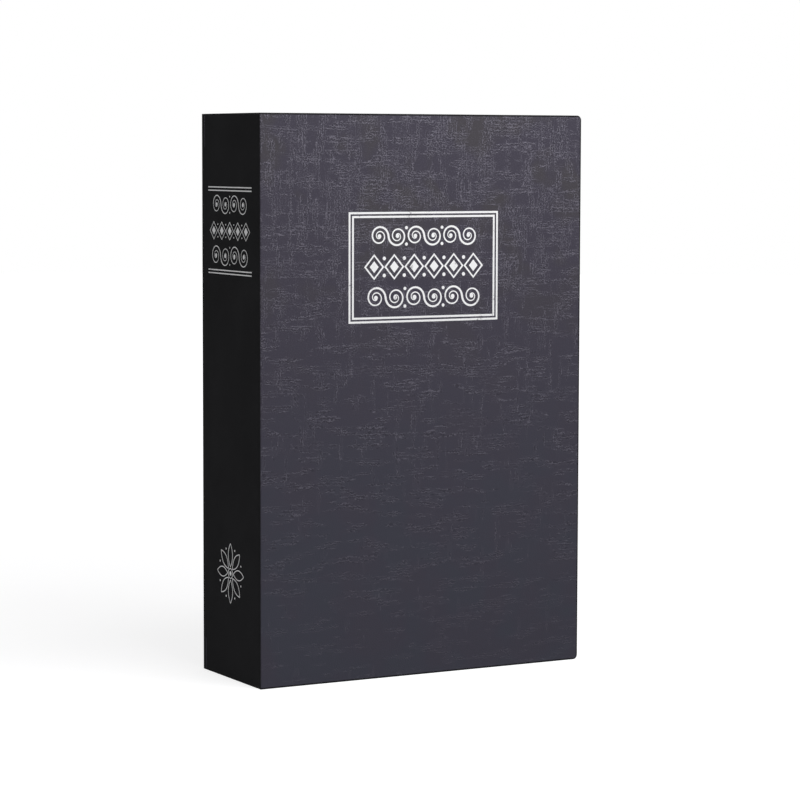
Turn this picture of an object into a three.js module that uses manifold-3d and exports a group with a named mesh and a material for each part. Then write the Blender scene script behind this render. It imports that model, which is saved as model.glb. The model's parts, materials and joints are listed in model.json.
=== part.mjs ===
// Book diversion safe: a hardcover book case built around a steel strongbox.
// The front cover opens on its cloth joint, and behind it a steel lid on a piano hinge is held by a cam lock.
// Units are millimetres, +Z is up. The book stands on its tail, front cover towards -Y, spine towards -X.
// The origin is the middle of the footprint, on the surface that the book stands on.

import * as THREE from 'three';
import { mergeVertices } from 'three/addons/utils/BufferGeometryUtils.js';
import Module from 'manifold-3d';

const wasm = await Module();
wasm.setup();

// Closed book, over its covering
const BOOK_HEIGHT = 240;
const BOOK_WIDTH = 156;
const BOOK_DEPTH = 57;

// Case: greyboard panels, the paper and cloth glued over them, and the endpapers inside
const BOARD = 2.4;
const SKIN = 0.4;
const ENDPAPER = 0.3;
const TURN_IN = 14;
const JOINT_TURN_IN = 12;
const CORNER_RADIUS = 2;
const EDGE_ROUND = 0.35;
const SQUARES = 3;
const COVER_GAP = 0.3;
const ENDPAPER_INSET = 1.5;

// Moulded page edges around the strongbox
const PAGE_WALL = 4;
const PAGE_PITCH = 1;
const PAGE_GROOVE = 0.3;

// Strongbox: folded sheet steel
const STEEL = 1;
const BEND_RADIUS = 0.6;
const SEAM = 0.3;
const RIM_ABOVE_LID = 1.5;
const LID_GAP = 0.8;
const LID_FLANGE = 9.8;
const LID_FLANGE_START = 4;
const LID_SEAT_GAP = 0.3;
const LEDGE_WIDTH = 6;
const LEDGE_LEG = 8;
const LEDGE_END_GAP = 0.5;
const MAT = 2;
const MAT_GAP = 0.6;

// Piano hinge of the lid: two leaves rolled around one pin
const PIN_RADIUS = 1;
const PIN_PLAY = 0.3;
const LEAF = 0.8;
const LEAF_WIDTH = 14;
const LEAF_ROLL_DEG = 285;
const KNUCKLES = 11;
const KNUCKLE_GAP = 0.3;
const HINGE_END_GAP = 1.5;
const BARREL_CLEARANCE = 0.5;
const LID_TO_BARREL = 1.5;
const PIN_HEAD_RADIUS = 1.7;
const PIN_HEAD = 0.8;

// Rivets
const LEAF_RIVETS = 4;
const LEAF_RIVET_RADIUS = 1.5;
const LEAF_RIVET_HEAD_RADIUS = 2.6;
const LEAF_RIVET_HEAD = 1;
const LEAF_RIVET_TAIL_RADIUS = 2.2;
const LEAF_RIVET_TAIL = 0.8;
const TRAY_RIVET_RADIUS = 2;
const TRAY_RIVET_HEAD_RADIUS = 4;
const TRAY_RIVET_HEAD = 1.3;
const TRAY_RIVET_TAIL_RADIUS = 2.9;
const TRAY_RIVET_TAIL = 0.8;
const TRAY_RIVET_INSET = 26;
const RIVET_PLAY = 0.2;

// Cam lock in the lid
const LOCK_BARREL_RADIUS = 7.8;
const LOCK_FLATS = 13.2;
const LOCK_BARREL = 10.4;
const LOCK_TO_LEDGE = 8.5;
const BEZEL_RADIUS = 9.6;
const BEZEL = 1.9;
const BEZEL_CHAMFER = 0.5;
const PLUG_RADIUS = 5.4;
const PLUG_PLAY = 0.3;
const PLUG_HEAD_RADIUS = 6.3;
const PLUG_HEAD = 0.9;
const PLUG_RECESS = 0.3;
const PLUG_END_PLAY = 0.1;
const KEYWAY_WIDTH = 1.8;
const KEYWAY_HEIGHT = 8;
const KEYWAY_WARD = 0.6;
const KEYWAY_WARD_HEIGHT = 2;
const KEYWAY_DEPTH = 9.6;
const WAFERS = 4;
const WAFER = 0.7;
const WAFER_WIDTH = 4.4;
const WAFER_PITCH = 1.8;
const WAFER_FIRST = 1.4;
const WAFER_SHORT = 0.12;
const WAFER_PLAY = 0.15;
const WAFER_WINDOW_WIDTH = 2.4;
const WAFER_WINDOW_HEIGHT = 6;
const WAFER_CUT_STEP = 0.5;
const WAFER_CHANNEL = 1.1;
const TAIL_SQUARE = 5.4;
const TAIL_SHORT = 0.2;
const STOP_WASHER = 1;
const STOP_TOOTH = 0.9;
const STOP_TOOTH_WALL = 1.1;
const STOP_TAB_DEG = 30;
const LOCK_TURN_DEG = 90;
const CAM = 1.5;
const CAM_HUB_RADIUS = 5.5;
const CAM_REACH = 12.5;
const CAM_TIP_WIDTH = 8;
const LOCK_NUT = 3.2;
const LOCK_NUT_FLATS = 18;
const LOCK_WASHER = 0.6;
const LOCK_WASHER_RADIUS = 10.2;
const LOCK_WASHER_TEETH = 18;
const LOCK_WASHER_TOOTH = 1.1;
const CAM_SCREW_RADIUS = 1.3;
const CAM_SCREW_LENGTH = 4;
const CAM_SCREW_HEAD_RADIUS = 3.5;
const CAM_SCREW_HEAD = 1.8;
const CROSS_SLOT = 0.8;
const CROSS_SPAN = 3.6;

// How finely round shapes are divided
const RIVET_SIDES = 16;
const LOCK_SIDES = 48;
const BEND_STEPS = 3;
const EDGE_STEPS = 2;
const CORNER_STEPS = 6;
const HEAD_STEPS = 4;
const ROLL_STEPS = 18;

// Places that follow from the sizes above
const SPINE_FACE = -BOOK_WIDTH / 2;
const FORE_EDGE = BOOK_WIDTH / 2;
const FRONT = -BOOK_DEPTH / 2;
const BACK = BOOK_DEPTH / 2;
const SKINNED_BOARD = SKIN + BOARD + SKIN;
const COVER = SKINNED_BOARD + ENDPAPER;
const BLOCK_FRONT = FRONT + COVER + COVER_GAP;
const BLOCK_BACK = BACK - COVER;
const BLOCK_FORE_EDGE = FORE_EDGE - SQUARES;
const BLOCK_TAIL = SQUARES;
const BLOCK_HEAD = BOOK_HEIGHT - SQUARES;
const SPINE_BACK = BACK - SKINNED_BOARD;

const TRAY_LEFT = SPINE_FACE + SKINNED_BOARD;
const TRAY_RIGHT = BLOCK_FORE_EDGE - PAGE_WALL;
const TRAY_TAIL = BLOCK_TAIL + PAGE_WALL;
const TRAY_HEAD = BLOCK_HEAD - PAGE_WALL;
const FLOOR = BLOCK_BACK - STEEL;

const BARREL_RADIUS = PIN_RADIUS + PIN_PLAY + LEAF;
const HINGE_X = TRAY_LEFT + STEEL + BARREL_RADIUS;
const HINGE_Y = FRONT + COVER + BARREL_CLEARANCE + BARREL_RADIUS;
const HINGE_BOTTOM = TRAY_TAIL + STEEL + HINGE_END_GAP;
const HINGE_TOP = TRAY_HEAD - STEEL - HINGE_END_GAP;
const KNUCKLE_PITCH = (HINGE_TOP - HINGE_BOTTOM) / KNUCKLES;
const LEAF_RIVET_AT = BARREL_RADIUS + (LEAF_WIDTH - BARREL_RADIUS) / 2;

const LID_FACE = HINGE_Y + BARREL_RADIUS;
const LID_LEFT = HINGE_X + LID_TO_BARREL;
const LID_RIGHT = TRAY_RIGHT - STEEL - LID_GAP;
const LID_TAIL = TRAY_TAIL + STEEL + LID_GAP;
const LID_HEAD = TRAY_HEAD - STEEL - LID_GAP;
const RIM = LID_FACE - RIM_ABOVE_LID;
const SPINE_WALL_EDGE = HINGE_Y + BARREL_RADIUS + PIN_PLAY;
const LEDGE_FACE = LID_FACE + LID_FLANGE + LID_SEAT_GAP;
const LEDGE_EDGE = TRAY_RIGHT - STEEL - LEDGE_WIDTH;

const LOCK_X = LEDGE_EDGE - LOCK_TO_LEDGE;
const LOCK_Z = (LID_HEAD + LID_TAIL) / 2;
const BORE_RADIUS = PLUG_RADIUS + PLUG_PLAY;
const PLUG_FACE = PLUG_RECESS - BEZEL;
const PLUG_END = LOCK_BARREL + PLUG_PLAY;
const CAM_FACE = PLUG_END + STOP_WASHER;
const STOP_TOOTH_INNER = CAM_HUB_RADIUS + PLUG_PLAY;
const WAFER_REACH = Math.sqrt((PLUG_RADIUS - WAFER_SHORT) ** 2 - (WAFER_WIDTH / 2) ** 2);

const X = new THREE.Vector3(1, 0, 0);
const Y = new THREE.Vector3(0, 1, 0);
const Z = new THREE.Vector3(0, 0, 1);

// Reach of a cutting tool past the surface that it opens
const THROUGH = 1;

function material(color, roughness, metalness) {
  return new THREE.MeshStandardMaterial({ color, roughness, metalness });
}

const COVER_PAPER = material(0x46434d, 0.7, 0);
const SPINE_CLOTH = material(0x1a1a1b, 0.6, 0);
const GREYBOARD = material(0x8c8579, 0.95, 0);
const END_PAPER = material(0xe9e3d2, 0.9, 0);
const PAGES = material(0xe6dcc0, 0.85, 0);
const BLACK_STEEL = material(0x202124, 0.45, 0.6);
const ZINC = material(0xb9bbb8, 0.35, 0.9);
const CHROME = material(0xd7d8da, 0.15, 1);
const BRASS = material(0xbf9d55, 0.3, 1);
const FELT = material(0x2b2c30, 0.98, 0);

// Solids for cutting and joining

function toSolid(geometry) {
  const bare = geometry.index ? geometry.toNonIndexed() : geometry.clone();
  bare.deleteAttribute('normal');
  bare.deleteAttribute('uv');
  const merged = mergeVertices(bare, 1e-4);
  const corners = merged.index.array;
  const triangles = [];
  for (let i = 0; i < corners.length; i += 3) {
    const [a, b, c] = [corners[i], corners[i + 1], corners[i + 2]];
    if (a !== b && b !== c && c !== a) triangles.push(a, b, c);
  }
  return new wasm.Manifold(new wasm.Mesh({
    numProp: 3,
    vertProperties: merged.attributes.position.array,
    triVerts: new Uint32Array(triangles),
  }));
}

function toGeometry(solid) {
  const mesh = solid.getMesh();
  const geometry = new THREE.BufferGeometry();
  geometry.setAttribute('position', new THREE.BufferAttribute(mesh.vertProperties, 3));
  geometry.setIndex(new THREE.BufferAttribute(mesh.triVerts, 1));
  const faceted = geometry.toNonIndexed();
  faceted.computeVertexNormals();
  return faceted;
}

function joined(first, ...others) {
  return toGeometry(others.reduce((whole, next) => whole.add(toSolid(next)), toSolid(first)));
}

function cut(first, ...tools) {
  return toGeometry(tools.reduce((rest, tool) => rest.subtract(toSolid(tool)), toSolid(first)));
}

function common(first, second) {
  return toGeometry(toSolid(first).intersect(toSolid(second)));
}

// A box between two corners
function slab(x0, x1, y0, y1, z0, z1) {
  const box = new THREE.BoxGeometry(Math.abs(x1 - x0), Math.abs(y1 - y0), Math.abs(z1 - z0));
  return box.translate((x0 + x1) / 2, (y0 + y1) / 2, (z0 + z1) / 2);
}

// A flat outline drawn along the directions u and v, then run for a length square to both, along u x v
function prism(outline, length, u, v, origin) {
  const settings = { depth: length, bevelEnabled: false, curveSegments: 8 };
  const frame = new THREE.Matrix4().makeBasis(u, v, new THREE.Vector3().crossVectors(u, v));
  return new THREE.ExtrudeGeometry(outline, settings).applyMatrix4(frame.setPosition(origin));
}

// An outline seen from the front, in x and z, as a plate between two depths
function plate(outline, y0, y1) {
  return prism(outline, Math.abs(y1 - y0), X, Z, new THREE.Vector3(0, Math.max(y0, y1), 0));
}

// A plate with rounded edges: rings of its outline, drawn in towards both faces and closed with fans.
// cornersAt gives the outline's corners at an inset, always the same number of them.
function softPlate(cornersAt, ya, yb, round) {
  const [y0, y1] = [Math.min(ya, yb), Math.max(ya, yb)];
  const levels = [];
  for (let step = 0; step <= EDGE_STEPS; step += 1) {
    const angle = (step / EDGE_STEPS) * (Math.PI / 2);
    levels.push([round * (1 - Math.sin(angle)), round * (1 - Math.cos(angle))]);
  }
  const rings = levels.map(([inset, depth]) => [inset, y0 + depth]);
  rings.push(...levels.map(([inset, depth]) => [inset, y1 - depth]).reverse());
  const positions = rings.flatMap(([inset, y]) => cornersAt(inset).flatMap(([x, z]) => [x, y, z]));
  const count = cornersAt(0).length;
  const centre = rings.length * count;
  positions.push(0, y0, BOOK_HEIGHT / 2, 0, y1, BOOK_HEIGHT / 2);
  const index = [];
  for (let i = 0; i < count; i += 1) {
    const next = (i + 1) % count;
    const last = (rings.length - 1) * count;
    index.push(centre, i, next, centre + 1, last + next, last + i);
    for (let ring = 0; ring < last; ring += count) {
      index.push(ring + i, ring + count + i, ring + next);
      index.push(ring + next, ring + count + i, ring + count + next);
    }
  }
  const geometry = new THREE.BufferGeometry();
  geometry.setAttribute('position', new THREE.Float32BufferAttribute(positions, 3));
  geometry.setIndex(index);
  return geometry;
}

function polygon(points) {
  return new THREE.Shape(points.map(([u, v]) => new THREE.Vector2(u, v)));
}

// A round bar along Y, or along X if it is turned
function bar(radius, length, x, y, z, alongX = false) {
  const cylinder = new THREE.CylinderGeometry(radius, radius, length, RIVET_SIDES);
  if (alongX) cylinder.rotateZ(Math.PI / 2);
  return cylinder.translate(x, y, z);
}

function turned(profile, sides) {
  return new THREE.LatheGeometry(profile.map(([r, y]) => new THREE.Vector2(r, y)), sides);
}

// Section of a sheet folded square along a path. The path is the outer face, and the sheet lies on its right.
function foldedSheet(path, thickness, bendRadius) {
  const points = path.map(([u, v]) => new THREE.Vector2(u, v));
  const heading = (i) => points[i + 1].clone().sub(points[i]).normalize();
  const right = (d) => new THREE.Vector2(d.y, -d.x);
  const last = points.length - 1;
  const outer = [points[0]];
  const inner = [points[0].clone().addScaledVector(right(heading(0)), thickness)];
  for (let i = 1; i < last; i += 1) {
    const along = heading(i - 1);
    const side = right(along);
    const outerRadius = bendRadius + thickness;
    const centre = points[i].clone().addScaledVector(along, -outerRadius).addScaledVector(side, outerRadius);
    for (let step = 0; step <= BEND_STEPS; step += 1) {
      const angle = (step / BEND_STEPS) * (Math.PI / 2);
      const spoke = side.clone().multiplyScalar(-Math.cos(angle)).addScaledVector(along, Math.sin(angle));
      outer.push(centre.clone().addScaledVector(spoke, outerRadius));
      inner.push(centre.clone().addScaledVector(spoke, bendRadius));
    }
  }
  outer.push(points[last]);
  inner.push(points[last].clone().addScaledVector(right(heading(last - 1)), thickness));
  return new THREE.Shape([...outer, ...inner.reverse()]);
}

// Case of the book

// Corners of a board from the front, anticlockwise: square at the spine, rounded at the fore-edge
function boardCorners(inset, left) {
  const radius = CORNER_RADIUS - inset;
  const right = FORE_EDGE - inset - radius;
  const points = [[left, inset]];
  for (const [z, from] of [[inset + radius, -Math.PI / 2], [BOOK_HEIGHT - inset - radius, 0]]) {
    for (let step = 0; step <= CORNER_STEPS; step += 1) {
      const angle = from + (step / CORNER_STEPS) * (Math.PI / 2);
      points.push([right + radius * Math.cos(angle), z + radius * Math.sin(angle)]);
    }
  }
  points.push([left, BOOK_HEIGHT - inset]);
  return points;
}

// In the next four, face is the outer face of the cover and inward is 1 for the front cover, -1 for the back

function board(face, inward) {
  const outline = polygon(boardCorners(SKIN, SPINE_FACE + SKIN));
  return plate(outline, face + inward * SKIN, face + inward * (SKIN + BOARD));
}

// Embossed paper over a board, turned in over its head, tail and fore-edge
function covering(face, inward) {
  const inside = face + inward * SKINNED_BOARD;
  const whole = softPlate((inset) => boardCorners(inset, SPINE_FACE + inset), face, inside, EDGE_ROUND);
  const coreOutline = polygon(boardCorners(SKIN, SPINE_FACE - THROUGH));
  const core = plate(coreOutline, face + inward * SKIN, inside - inward * SKIN);
  const window = slab(
    SPINE_FACE - THROUGH, FORE_EDGE - TURN_IN,
    inside - inward * SKIN, inside + inward * THROUGH,
    TURN_IN, BOOK_HEIGHT - TURN_IN,
  );
  return cut(whole, core, window);
}

// Cloth over a board's spine edge, turned in behind it
function jointCloth(face, inward) {
  const inside = face + inward * SKINNED_BOARD;
  const overEdge = slab(
    SPINE_FACE, SPINE_FACE + SKIN,
    face + inward * SKIN, inside - inward * SKIN,
    SKIN, BOOK_HEIGHT - SKIN,
  );
  const turnIn = slab(
    SPINE_FACE, SPINE_FACE + JOINT_TURN_IN,
    inside - inward * SKIN, inside,
    TURN_IN, BOOK_HEIGHT - TURN_IN,
  );
  return joined(overEdge, turnIn);
}

// Paper pasted inside a cover: it fills the window between the turn-ins and laps over them
function endpaper(face, inward, left) {
  const inside = face + inward * SKINNED_BOARD;
  const filling = slab(
    SPINE_FACE + JOINT_TURN_IN, FORE_EDGE - TURN_IN,
    inside - inward * SKIN, inside,
    TURN_IN, BOOK_HEIGHT - TURN_IN,
  );
  const sheet = slab(left, BLOCK_FORE_EDGE, inside, inside + inward * ENDPAPER, BLOCK_TAIL, BLOCK_HEAD);
  return joined(filling, sheet);
}

function spineBoard() {
  return slab(
    SPINE_FACE + SKIN, SPINE_FACE + SKIN + BOARD,
    BLOCK_FRONT + SKIN, SPINE_BACK,
    SKIN, BOOK_HEIGHT - SKIN,
  );
}

// Cloth round the spine board and its front edge, turned in at head and tail, and on over the back board
function spineCloth() {
  const whole = slab(SPINE_FACE, TRAY_LEFT, BLOCK_FRONT, SPINE_BACK, 0, BOOK_HEIGHT);
  const core = slab(
    SPINE_FACE + SKIN, SPINE_FACE + SKIN + BOARD,
    BLOCK_FRONT + SKIN, SPINE_BACK + THROUGH,
    SKIN, BOOK_HEIGHT - SKIN,
  );
  const window = slab(
    SPINE_FACE + SKIN + BOARD / 2, TRAY_LEFT + THROUGH,
    BLOCK_FRONT + SKIN, SPINE_BACK + THROUGH,
    TURN_IN, BOOK_HEIGHT - TURN_IN,
  );
  const backFold = slab(
    SPINE_FACE, SPINE_FACE + SKIN,
    SPINE_BACK - SKIN, BACK - SKIN,
    TURN_IN, BOOK_HEIGHT - TURN_IN,
  );
  return joined(cut(whole, core, window), jointCloth(BACK, -1), backFold);
}

function spineLining() {
  return slab(
    SPINE_FACE + SKIN + BOARD, TRAY_LEFT,
    BLOCK_FRONT + SKIN, SPINE_BACK,
    TURN_IN, BOOK_HEIGHT - TURN_IN,
  );
}

// Page edges

// Section of a page strip: plain where it is glued to the box, finely grooved outside. u is depth, v wall.
function pageSection() {
  const depth = BLOCK_BACK - BLOCK_FRONT;
  const leaves = Math.round(depth / PAGE_PITCH);
  const pitch = depth / leaves;
  const points = [[depth, 0], [depth, PAGE_WALL]];
  for (let i = leaves - 1; i >= 1; i -= 1) {
    points.push([(i + 0.25) * pitch, PAGE_WALL]);
    points.push([i * pitch, PAGE_WALL - PAGE_GROOVE]);
    points.push([(i - 0.25) * pitch, PAGE_WALL]);
  }
  points.push([0, PAGE_WALL], [0, 0]);
  return polygon(points);
}

// Each strip is cut to a mitre where it meets the next at a fore-edge corner
function pageStrip(u, v, origin, length, mitredOutline) {
  const strip = prism(pageSection(), length, u, v, origin);
  return common(strip, plate(polygon(mitredOutline), BLOCK_FRONT - THROUGH, BLOCK_BACK + THROUGH));
}

function headPages() {
  const origin = new THREE.Vector3(TRAY_LEFT, BLOCK_FRONT, TRAY_HEAD);
  return pageStrip(Y, Z, origin, BLOCK_FORE_EDGE - TRAY_LEFT, [
    [TRAY_LEFT, TRAY_HEAD], [TRAY_RIGHT, TRAY_HEAD], [BLOCK_FORE_EDGE, BLOCK_HEAD], [TRAY_LEFT, BLOCK_HEAD],
  ]);
}

function tailPages() {
  const origin = new THREE.Vector3(BLOCK_FORE_EDGE, BLOCK_FRONT, TRAY_TAIL);
  return pageStrip(Y, Z.clone().negate(), origin, BLOCK_FORE_EDGE - TRAY_LEFT, [
    [TRAY_LEFT, BLOCK_TAIL], [BLOCK_FORE_EDGE, BLOCK_TAIL], [TRAY_RIGHT, TRAY_TAIL], [TRAY_LEFT, TRAY_TAIL],
  ]);
}

function foreEdgePages() {
  const origin = new THREE.Vector3(TRAY_RIGHT, BLOCK_FRONT, BLOCK_HEAD);
  return pageStrip(Y, X, origin, BLOCK_HEAD - BLOCK_TAIL, [
    [TRAY_RIGHT, TRAY_TAIL], [BLOCK_FORE_EDGE, BLOCK_TAIL],
    [BLOCK_FORE_EDGE, BLOCK_HEAD], [TRAY_RIGHT, TRAY_HEAD],
  ]);
}

// Strongbox

function leafRivetHeights() {
  const span = (HINGE_TOP - HINGE_BOTTOM) / LEAF_RIVETS;
  return Array.from({ length: LEAF_RIVETS }, (_, i) => HINGE_BOTTOM + (i + 0.5) * span);
}

function trayRivetPlaces() {
  const columns = [TRAY_LEFT + TRAY_RIVET_INSET, TRAY_RIGHT - TRAY_RIVET_INSET];
  const rows = [TRAY_TAIL + TRAY_RIVET_INSET, TRAY_HEAD - TRAY_RIVET_INSET];
  return columns.flatMap((x) => rows.map((z) => [x, z]));
}

function trayRivetHoles(radius, y0, y1) {
  return trayRivetPlaces().map(([x, z]) => bar(radius, y1 - y0, x, (y0 + y1) / 2, z));
}

// The tray is one sheet: two pairs of walls folded up from its floor, with open seams at the corners
function strongboxTray() {
  const across = foldedSheet([
    [TRAY_LEFT, SPINE_WALL_EDGE], [TRAY_LEFT, BLOCK_BACK], [TRAY_RIGHT, BLOCK_BACK], [TRAY_RIGHT, RIM],
  ], STEEL, BEND_RADIUS);
  const upright = foldedSheet([
    [TRAY_TAIL, RIM], [TRAY_TAIL, BLOCK_BACK], [TRAY_HEAD, BLOCK_BACK], [TRAY_HEAD, RIM],
  ], STEEL, BEND_RADIUS);
  const inset = STEEL + SEAM;
  const height = TRAY_HEAD - TRAY_TAIL - 2 * inset;
  const width = TRAY_RIGHT - TRAY_LEFT - 2 * inset;
  const sides = prism(across, height, X, Y, new THREE.Vector3(0, 0, TRAY_TAIL + inset));
  const ends = prism(upright, width, Z, Y, new THREE.Vector3(TRAY_RIGHT - inset, 0, 0));
  const wallHoles = leafRivetHeights().map((z) => bar(
    LEAF_RIVET_RADIUS + RIVET_PLAY, 2 * (STEEL + THROUGH), TRAY_LEFT, HINGE_Y + LEAF_RIVET_AT, z, true,
  ));
  const floorHoles = trayRivetHoles(TRAY_RIVET_RADIUS + RIVET_PLAY, FLOOR - THROUGH, BLOCK_BACK + THROUGH);
  return cut(joined(sides, ends), ...wallHoles, ...floorHoles);
}

// Angle strips inside the walls: the lid rests on them, and the cam catches behind the one at the fore-edge
function foreEdgeLedge() {
  const wall = TRAY_RIGHT - STEEL;
  const section = foldedSheet([
    [wall, LEDGE_FACE + LEDGE_LEG], [wall, LEDGE_FACE], [LEDGE_EDGE, LEDGE_FACE],
  ], STEEL, BEND_RADIUS);
  const bottom = TRAY_TAIL + STEEL + LEDGE_END_GAP;
  const top = TRAY_HEAD - STEEL - LEDGE_END_GAP;
  return prism(section, top - bottom, X, Y, new THREE.Vector3(0, 0, bottom));
}

function endLedge(section) {
  const left = TRAY_LEFT + STEEL + LEAF + LEDGE_END_GAP;
  const right = LEDGE_EDGE - LEDGE_END_GAP;
  return prism(section, right - left, Z, Y, new THREE.Vector3(right, 0, 0));
}

function headLedge() {
  const wall = TRAY_HEAD - STEEL;
  return endLedge(foldedSheet([
    [wall, LEDGE_FACE + LEDGE_LEG], [wall, LEDGE_FACE], [wall - LEDGE_WIDTH, LEDGE_FACE],
  ], STEEL, BEND_RADIUS));
}

function tailLedge() {
  const wall = TRAY_TAIL + STEEL;
  return endLedge(foldedSheet([
    [wall + LEDGE_WIDTH, LEDGE_FACE], [wall, LEDGE_FACE], [wall, LEDGE_FACE + LEDGE_LEG],
  ], STEEL, BEND_RADIUS));
}

function floorMat() {
  const left = TRAY_LEFT + STEEL + BEND_RADIUS + MAT_GAP;
  const right = TRAY_RIGHT - STEEL - BEND_RADIUS - MAT_GAP;
  const tail = TRAY_TAIL + STEEL + BEND_RADIUS + MAT_GAP;
  const head = TRAY_HEAD - STEEL - BEND_RADIUS - MAT_GAP;
  const outline = polygon([[left, tail], [right, tail], [right, head], [left, head]]);
  for (const [x, z] of trayRivetPlaces()) {
    outline.holes.push(new THREE.Path().absarc(x, z, TRAY_RIVET_HEAD_RADIUS + MAT_GAP, 0, 2 * Math.PI, true));
  }
  return plate(outline, FLOOR - MAT, FLOOR);
}

function backBoard() {
  const outside = BACK - SKIN;
  const shanks = trayRivetHoles(TRAY_RIVET_RADIUS + RIVET_PLAY, SPINE_BACK - THROUGH, outside + THROUGH);
  const sinks = trayRivetHoles(
    TRAY_RIVET_TAIL_RADIUS + RIVET_PLAY, outside - TRAY_RIVET_TAIL - RIVET_PLAY, outside + THROUGH,
  );
  return cut(board(BACK, -1), ...shanks, ...sinks);
}

function backEndpaper() {
  const radius = TRAY_RIVET_RADIUS + RIVET_PLAY;
  const holes = trayRivetHoles(radius, BLOCK_BACK - THROUGH, SPINE_BACK + SKIN + THROUGH);
  return cut(endpaper(BACK, -1, TRAY_LEFT), ...holes);
}

// Profile of a round rivet head from its top, at y = -head, down to its rim at y = 0
function roundHead(headRadius, head) {
  return Array.from({ length: HEAD_STEPS + 1 }, (_, step) => {
    const angle = (step / HEAD_STEPS) * (Math.PI / 2);
    return [headRadius * Math.sin(angle), -head * Math.cos(angle)];
  });
}

// A rivet along Y: round head towards -Y, seated at y = 0, and a set tail past the grip
function rivet(radius, headRadius, head, grip, tailRadius, tail) {
  return turned([
    ...roundHead(headRadius, head),
    [radius, 0],
    [radius, grip],
    [tailRadius, grip],
    [tailRadius, grip + tail],
    [0, grip + tail],
  ], RIVET_SIDES);
}

function trayRivet() {
  const grip = BACK - SKIN - TRAY_RIVET_TAIL - RIVET_PLAY - FLOOR;
  return rivet(
    TRAY_RIVET_RADIUS, TRAY_RIVET_HEAD_RADIUS, TRAY_RIVET_HEAD,
    grip, TRAY_RIVET_TAIL_RADIUS, TRAY_RIVET_TAIL,
  );
}

// Set flush in the wall, because the spine lies against it
function fixedLeafRivet() {
  const flush = RIVET_PLAY / 2;
  return turned([
    ...roundHead(LEAF_RIVET_HEAD_RADIUS, LEAF_RIVET_HEAD),
    [LEAF_RIVET_RADIUS, 0],
    [LEAF_RIVET_RADIUS, LEAF + STEEL - flush],
    [0, LEAF + STEEL - flush],
  ], RIVET_SIDES).rotateZ(Math.PI / 2);
}

function movingLeafRivet() {
  return rivet(
    LEAF_RIVET_RADIUS, LEAF_RIVET_HEAD_RADIUS, LEAF_RIVET_HEAD,
    LEAF + STEEL, LEAF_RIVET_TAIL_RADIUS, LEAF_RIVET_TAIL,
  );
}

// Piano hinge, drawn around its own axis: the leaf runs along +X, and its end rolls round the pin

function leafSection() {
  const inner = BARREL_RADIUS - LEAF;
  const start = Math.PI / 2;
  const sweep = THREE.MathUtils.degToRad(LEAF_ROLL_DEG);
  const outside = [];
  const inside = [];
  for (let step = 0; step <= ROLL_STEPS; step += 1) {
    const angle = start + (step / ROLL_STEPS) * sweep;
    outside.push([BARREL_RADIUS * Math.cos(angle), BARREL_RADIUS * Math.sin(angle)]);
    inside.push([inner * Math.cos(angle), inner * Math.sin(angle)]);
  }
  return polygon([[LEAF_WIDTH, inner], [LEAF_WIDTH, BARREL_RADIUS], ...outside, ...inside.reverse()]);
}

// The leaf keeps every second knuckle and is notched round the other leaf's
function hingeLeaf(keepsFirst) {
  const length = HINGE_TOP - HINGE_BOTTOM;
  const whole = prism(leafSection(), length, X, Y, new THREE.Vector3(0, 0, 0));
  const reach = BARREL_RADIUS + KNUCKLE_GAP;
  const tools = [];
  for (let i = keepsFirst ? 1 : 0; i < KNUCKLES; i += 2) {
    const bottom = i === 0 ? -THROUGH : i * KNUCKLE_PITCH - KNUCKLE_GAP / 2;
    const top = i === KNUCKLES - 1 ? length + THROUGH : (i + 1) * KNUCKLE_PITCH + KNUCKLE_GAP / 2;
    tools.push(slab(-reach, reach, -reach, reach, bottom, top));
  }
  for (const z of leafRivetHeights()) {
    const hole = bar(LEAF_RIVET_RADIUS + RIVET_PLAY, 2 * BARREL_RADIUS, LEAF_RIVET_AT, BARREL_RADIUS, 0);
    tools.push(hole.translate(0, 0, z - HINGE_BOTTOM));
  }
  return cut(whole, ...tools);
}

function hingePin() {
  const length = HINGE_TOP - HINGE_BOTTOM;
  return turned([
    [0, -PIN_HEAD],
    [PIN_HEAD_RADIUS, -PIN_HEAD],
    [PIN_HEAD_RADIUS, 0],
    [PIN_RADIUS, 0],
    [PIN_RADIUS, length],
    [PIN_HEAD_RADIUS, length],
    [PIN_HEAD_RADIUS, length + PIN_HEAD],
    [0, length + PIN_HEAD],
  ], RIVET_SIDES).rotateX(Math.PI / 2);
}

// Lid: a sheet with three flanges folded back, drilled for the hinge rivets and cut out for the lock
function lidPanel() {
  const across = foldedSheet([
    [LID_RIGHT, LID_FACE + LID_FLANGE], [LID_RIGHT, LID_FACE], [LID_LEFT, LID_FACE],
  ], STEEL, BEND_RADIUS);
  const upright = foldedSheet([
    [LID_HEAD, LID_FACE + LID_FLANGE], [LID_HEAD, LID_FACE],
    [LID_TAIL, LID_FACE], [LID_TAIL, LID_FACE + LID_FLANGE],
  ], STEEL, BEND_RADIUS);
  const inset = STEEL + SEAM;
  const height = LID_HEAD - LID_TAIL - 2 * inset;
  const face = prism(across, height, X, Y, new THREE.Vector3(0, 0, LID_TAIL + inset));
  const right = LID_RIGHT - inset;
  const left = LID_LEFT + LID_FLANGE_START;
  const ends = prism(upright, right - left, Z, Y, new THREE.Vector3(right, 0, 0));
  const rivetHoles = leafRivetHeights().map((z) => bar(
    LEAF_RIVET_RADIUS + RIVET_PLAY, 2 * (STEEL + THROUGH), HINGE_X + LEAF_RIVET_AT, LID_FACE, z,
  ));
  const lockHole = plate(
    flattedCircle(LOCK_BARREL_RADIUS + PLUG_PLAY, LOCK_FLATS + 2 * PLUG_PLAY),
    -THROUGH, STEEL + THROUGH,
  ).translate(LOCK_X, LID_FACE, LOCK_Z);
  return cut(joined(face, ends), ...rivetHoles, lockHole);
}

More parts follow.
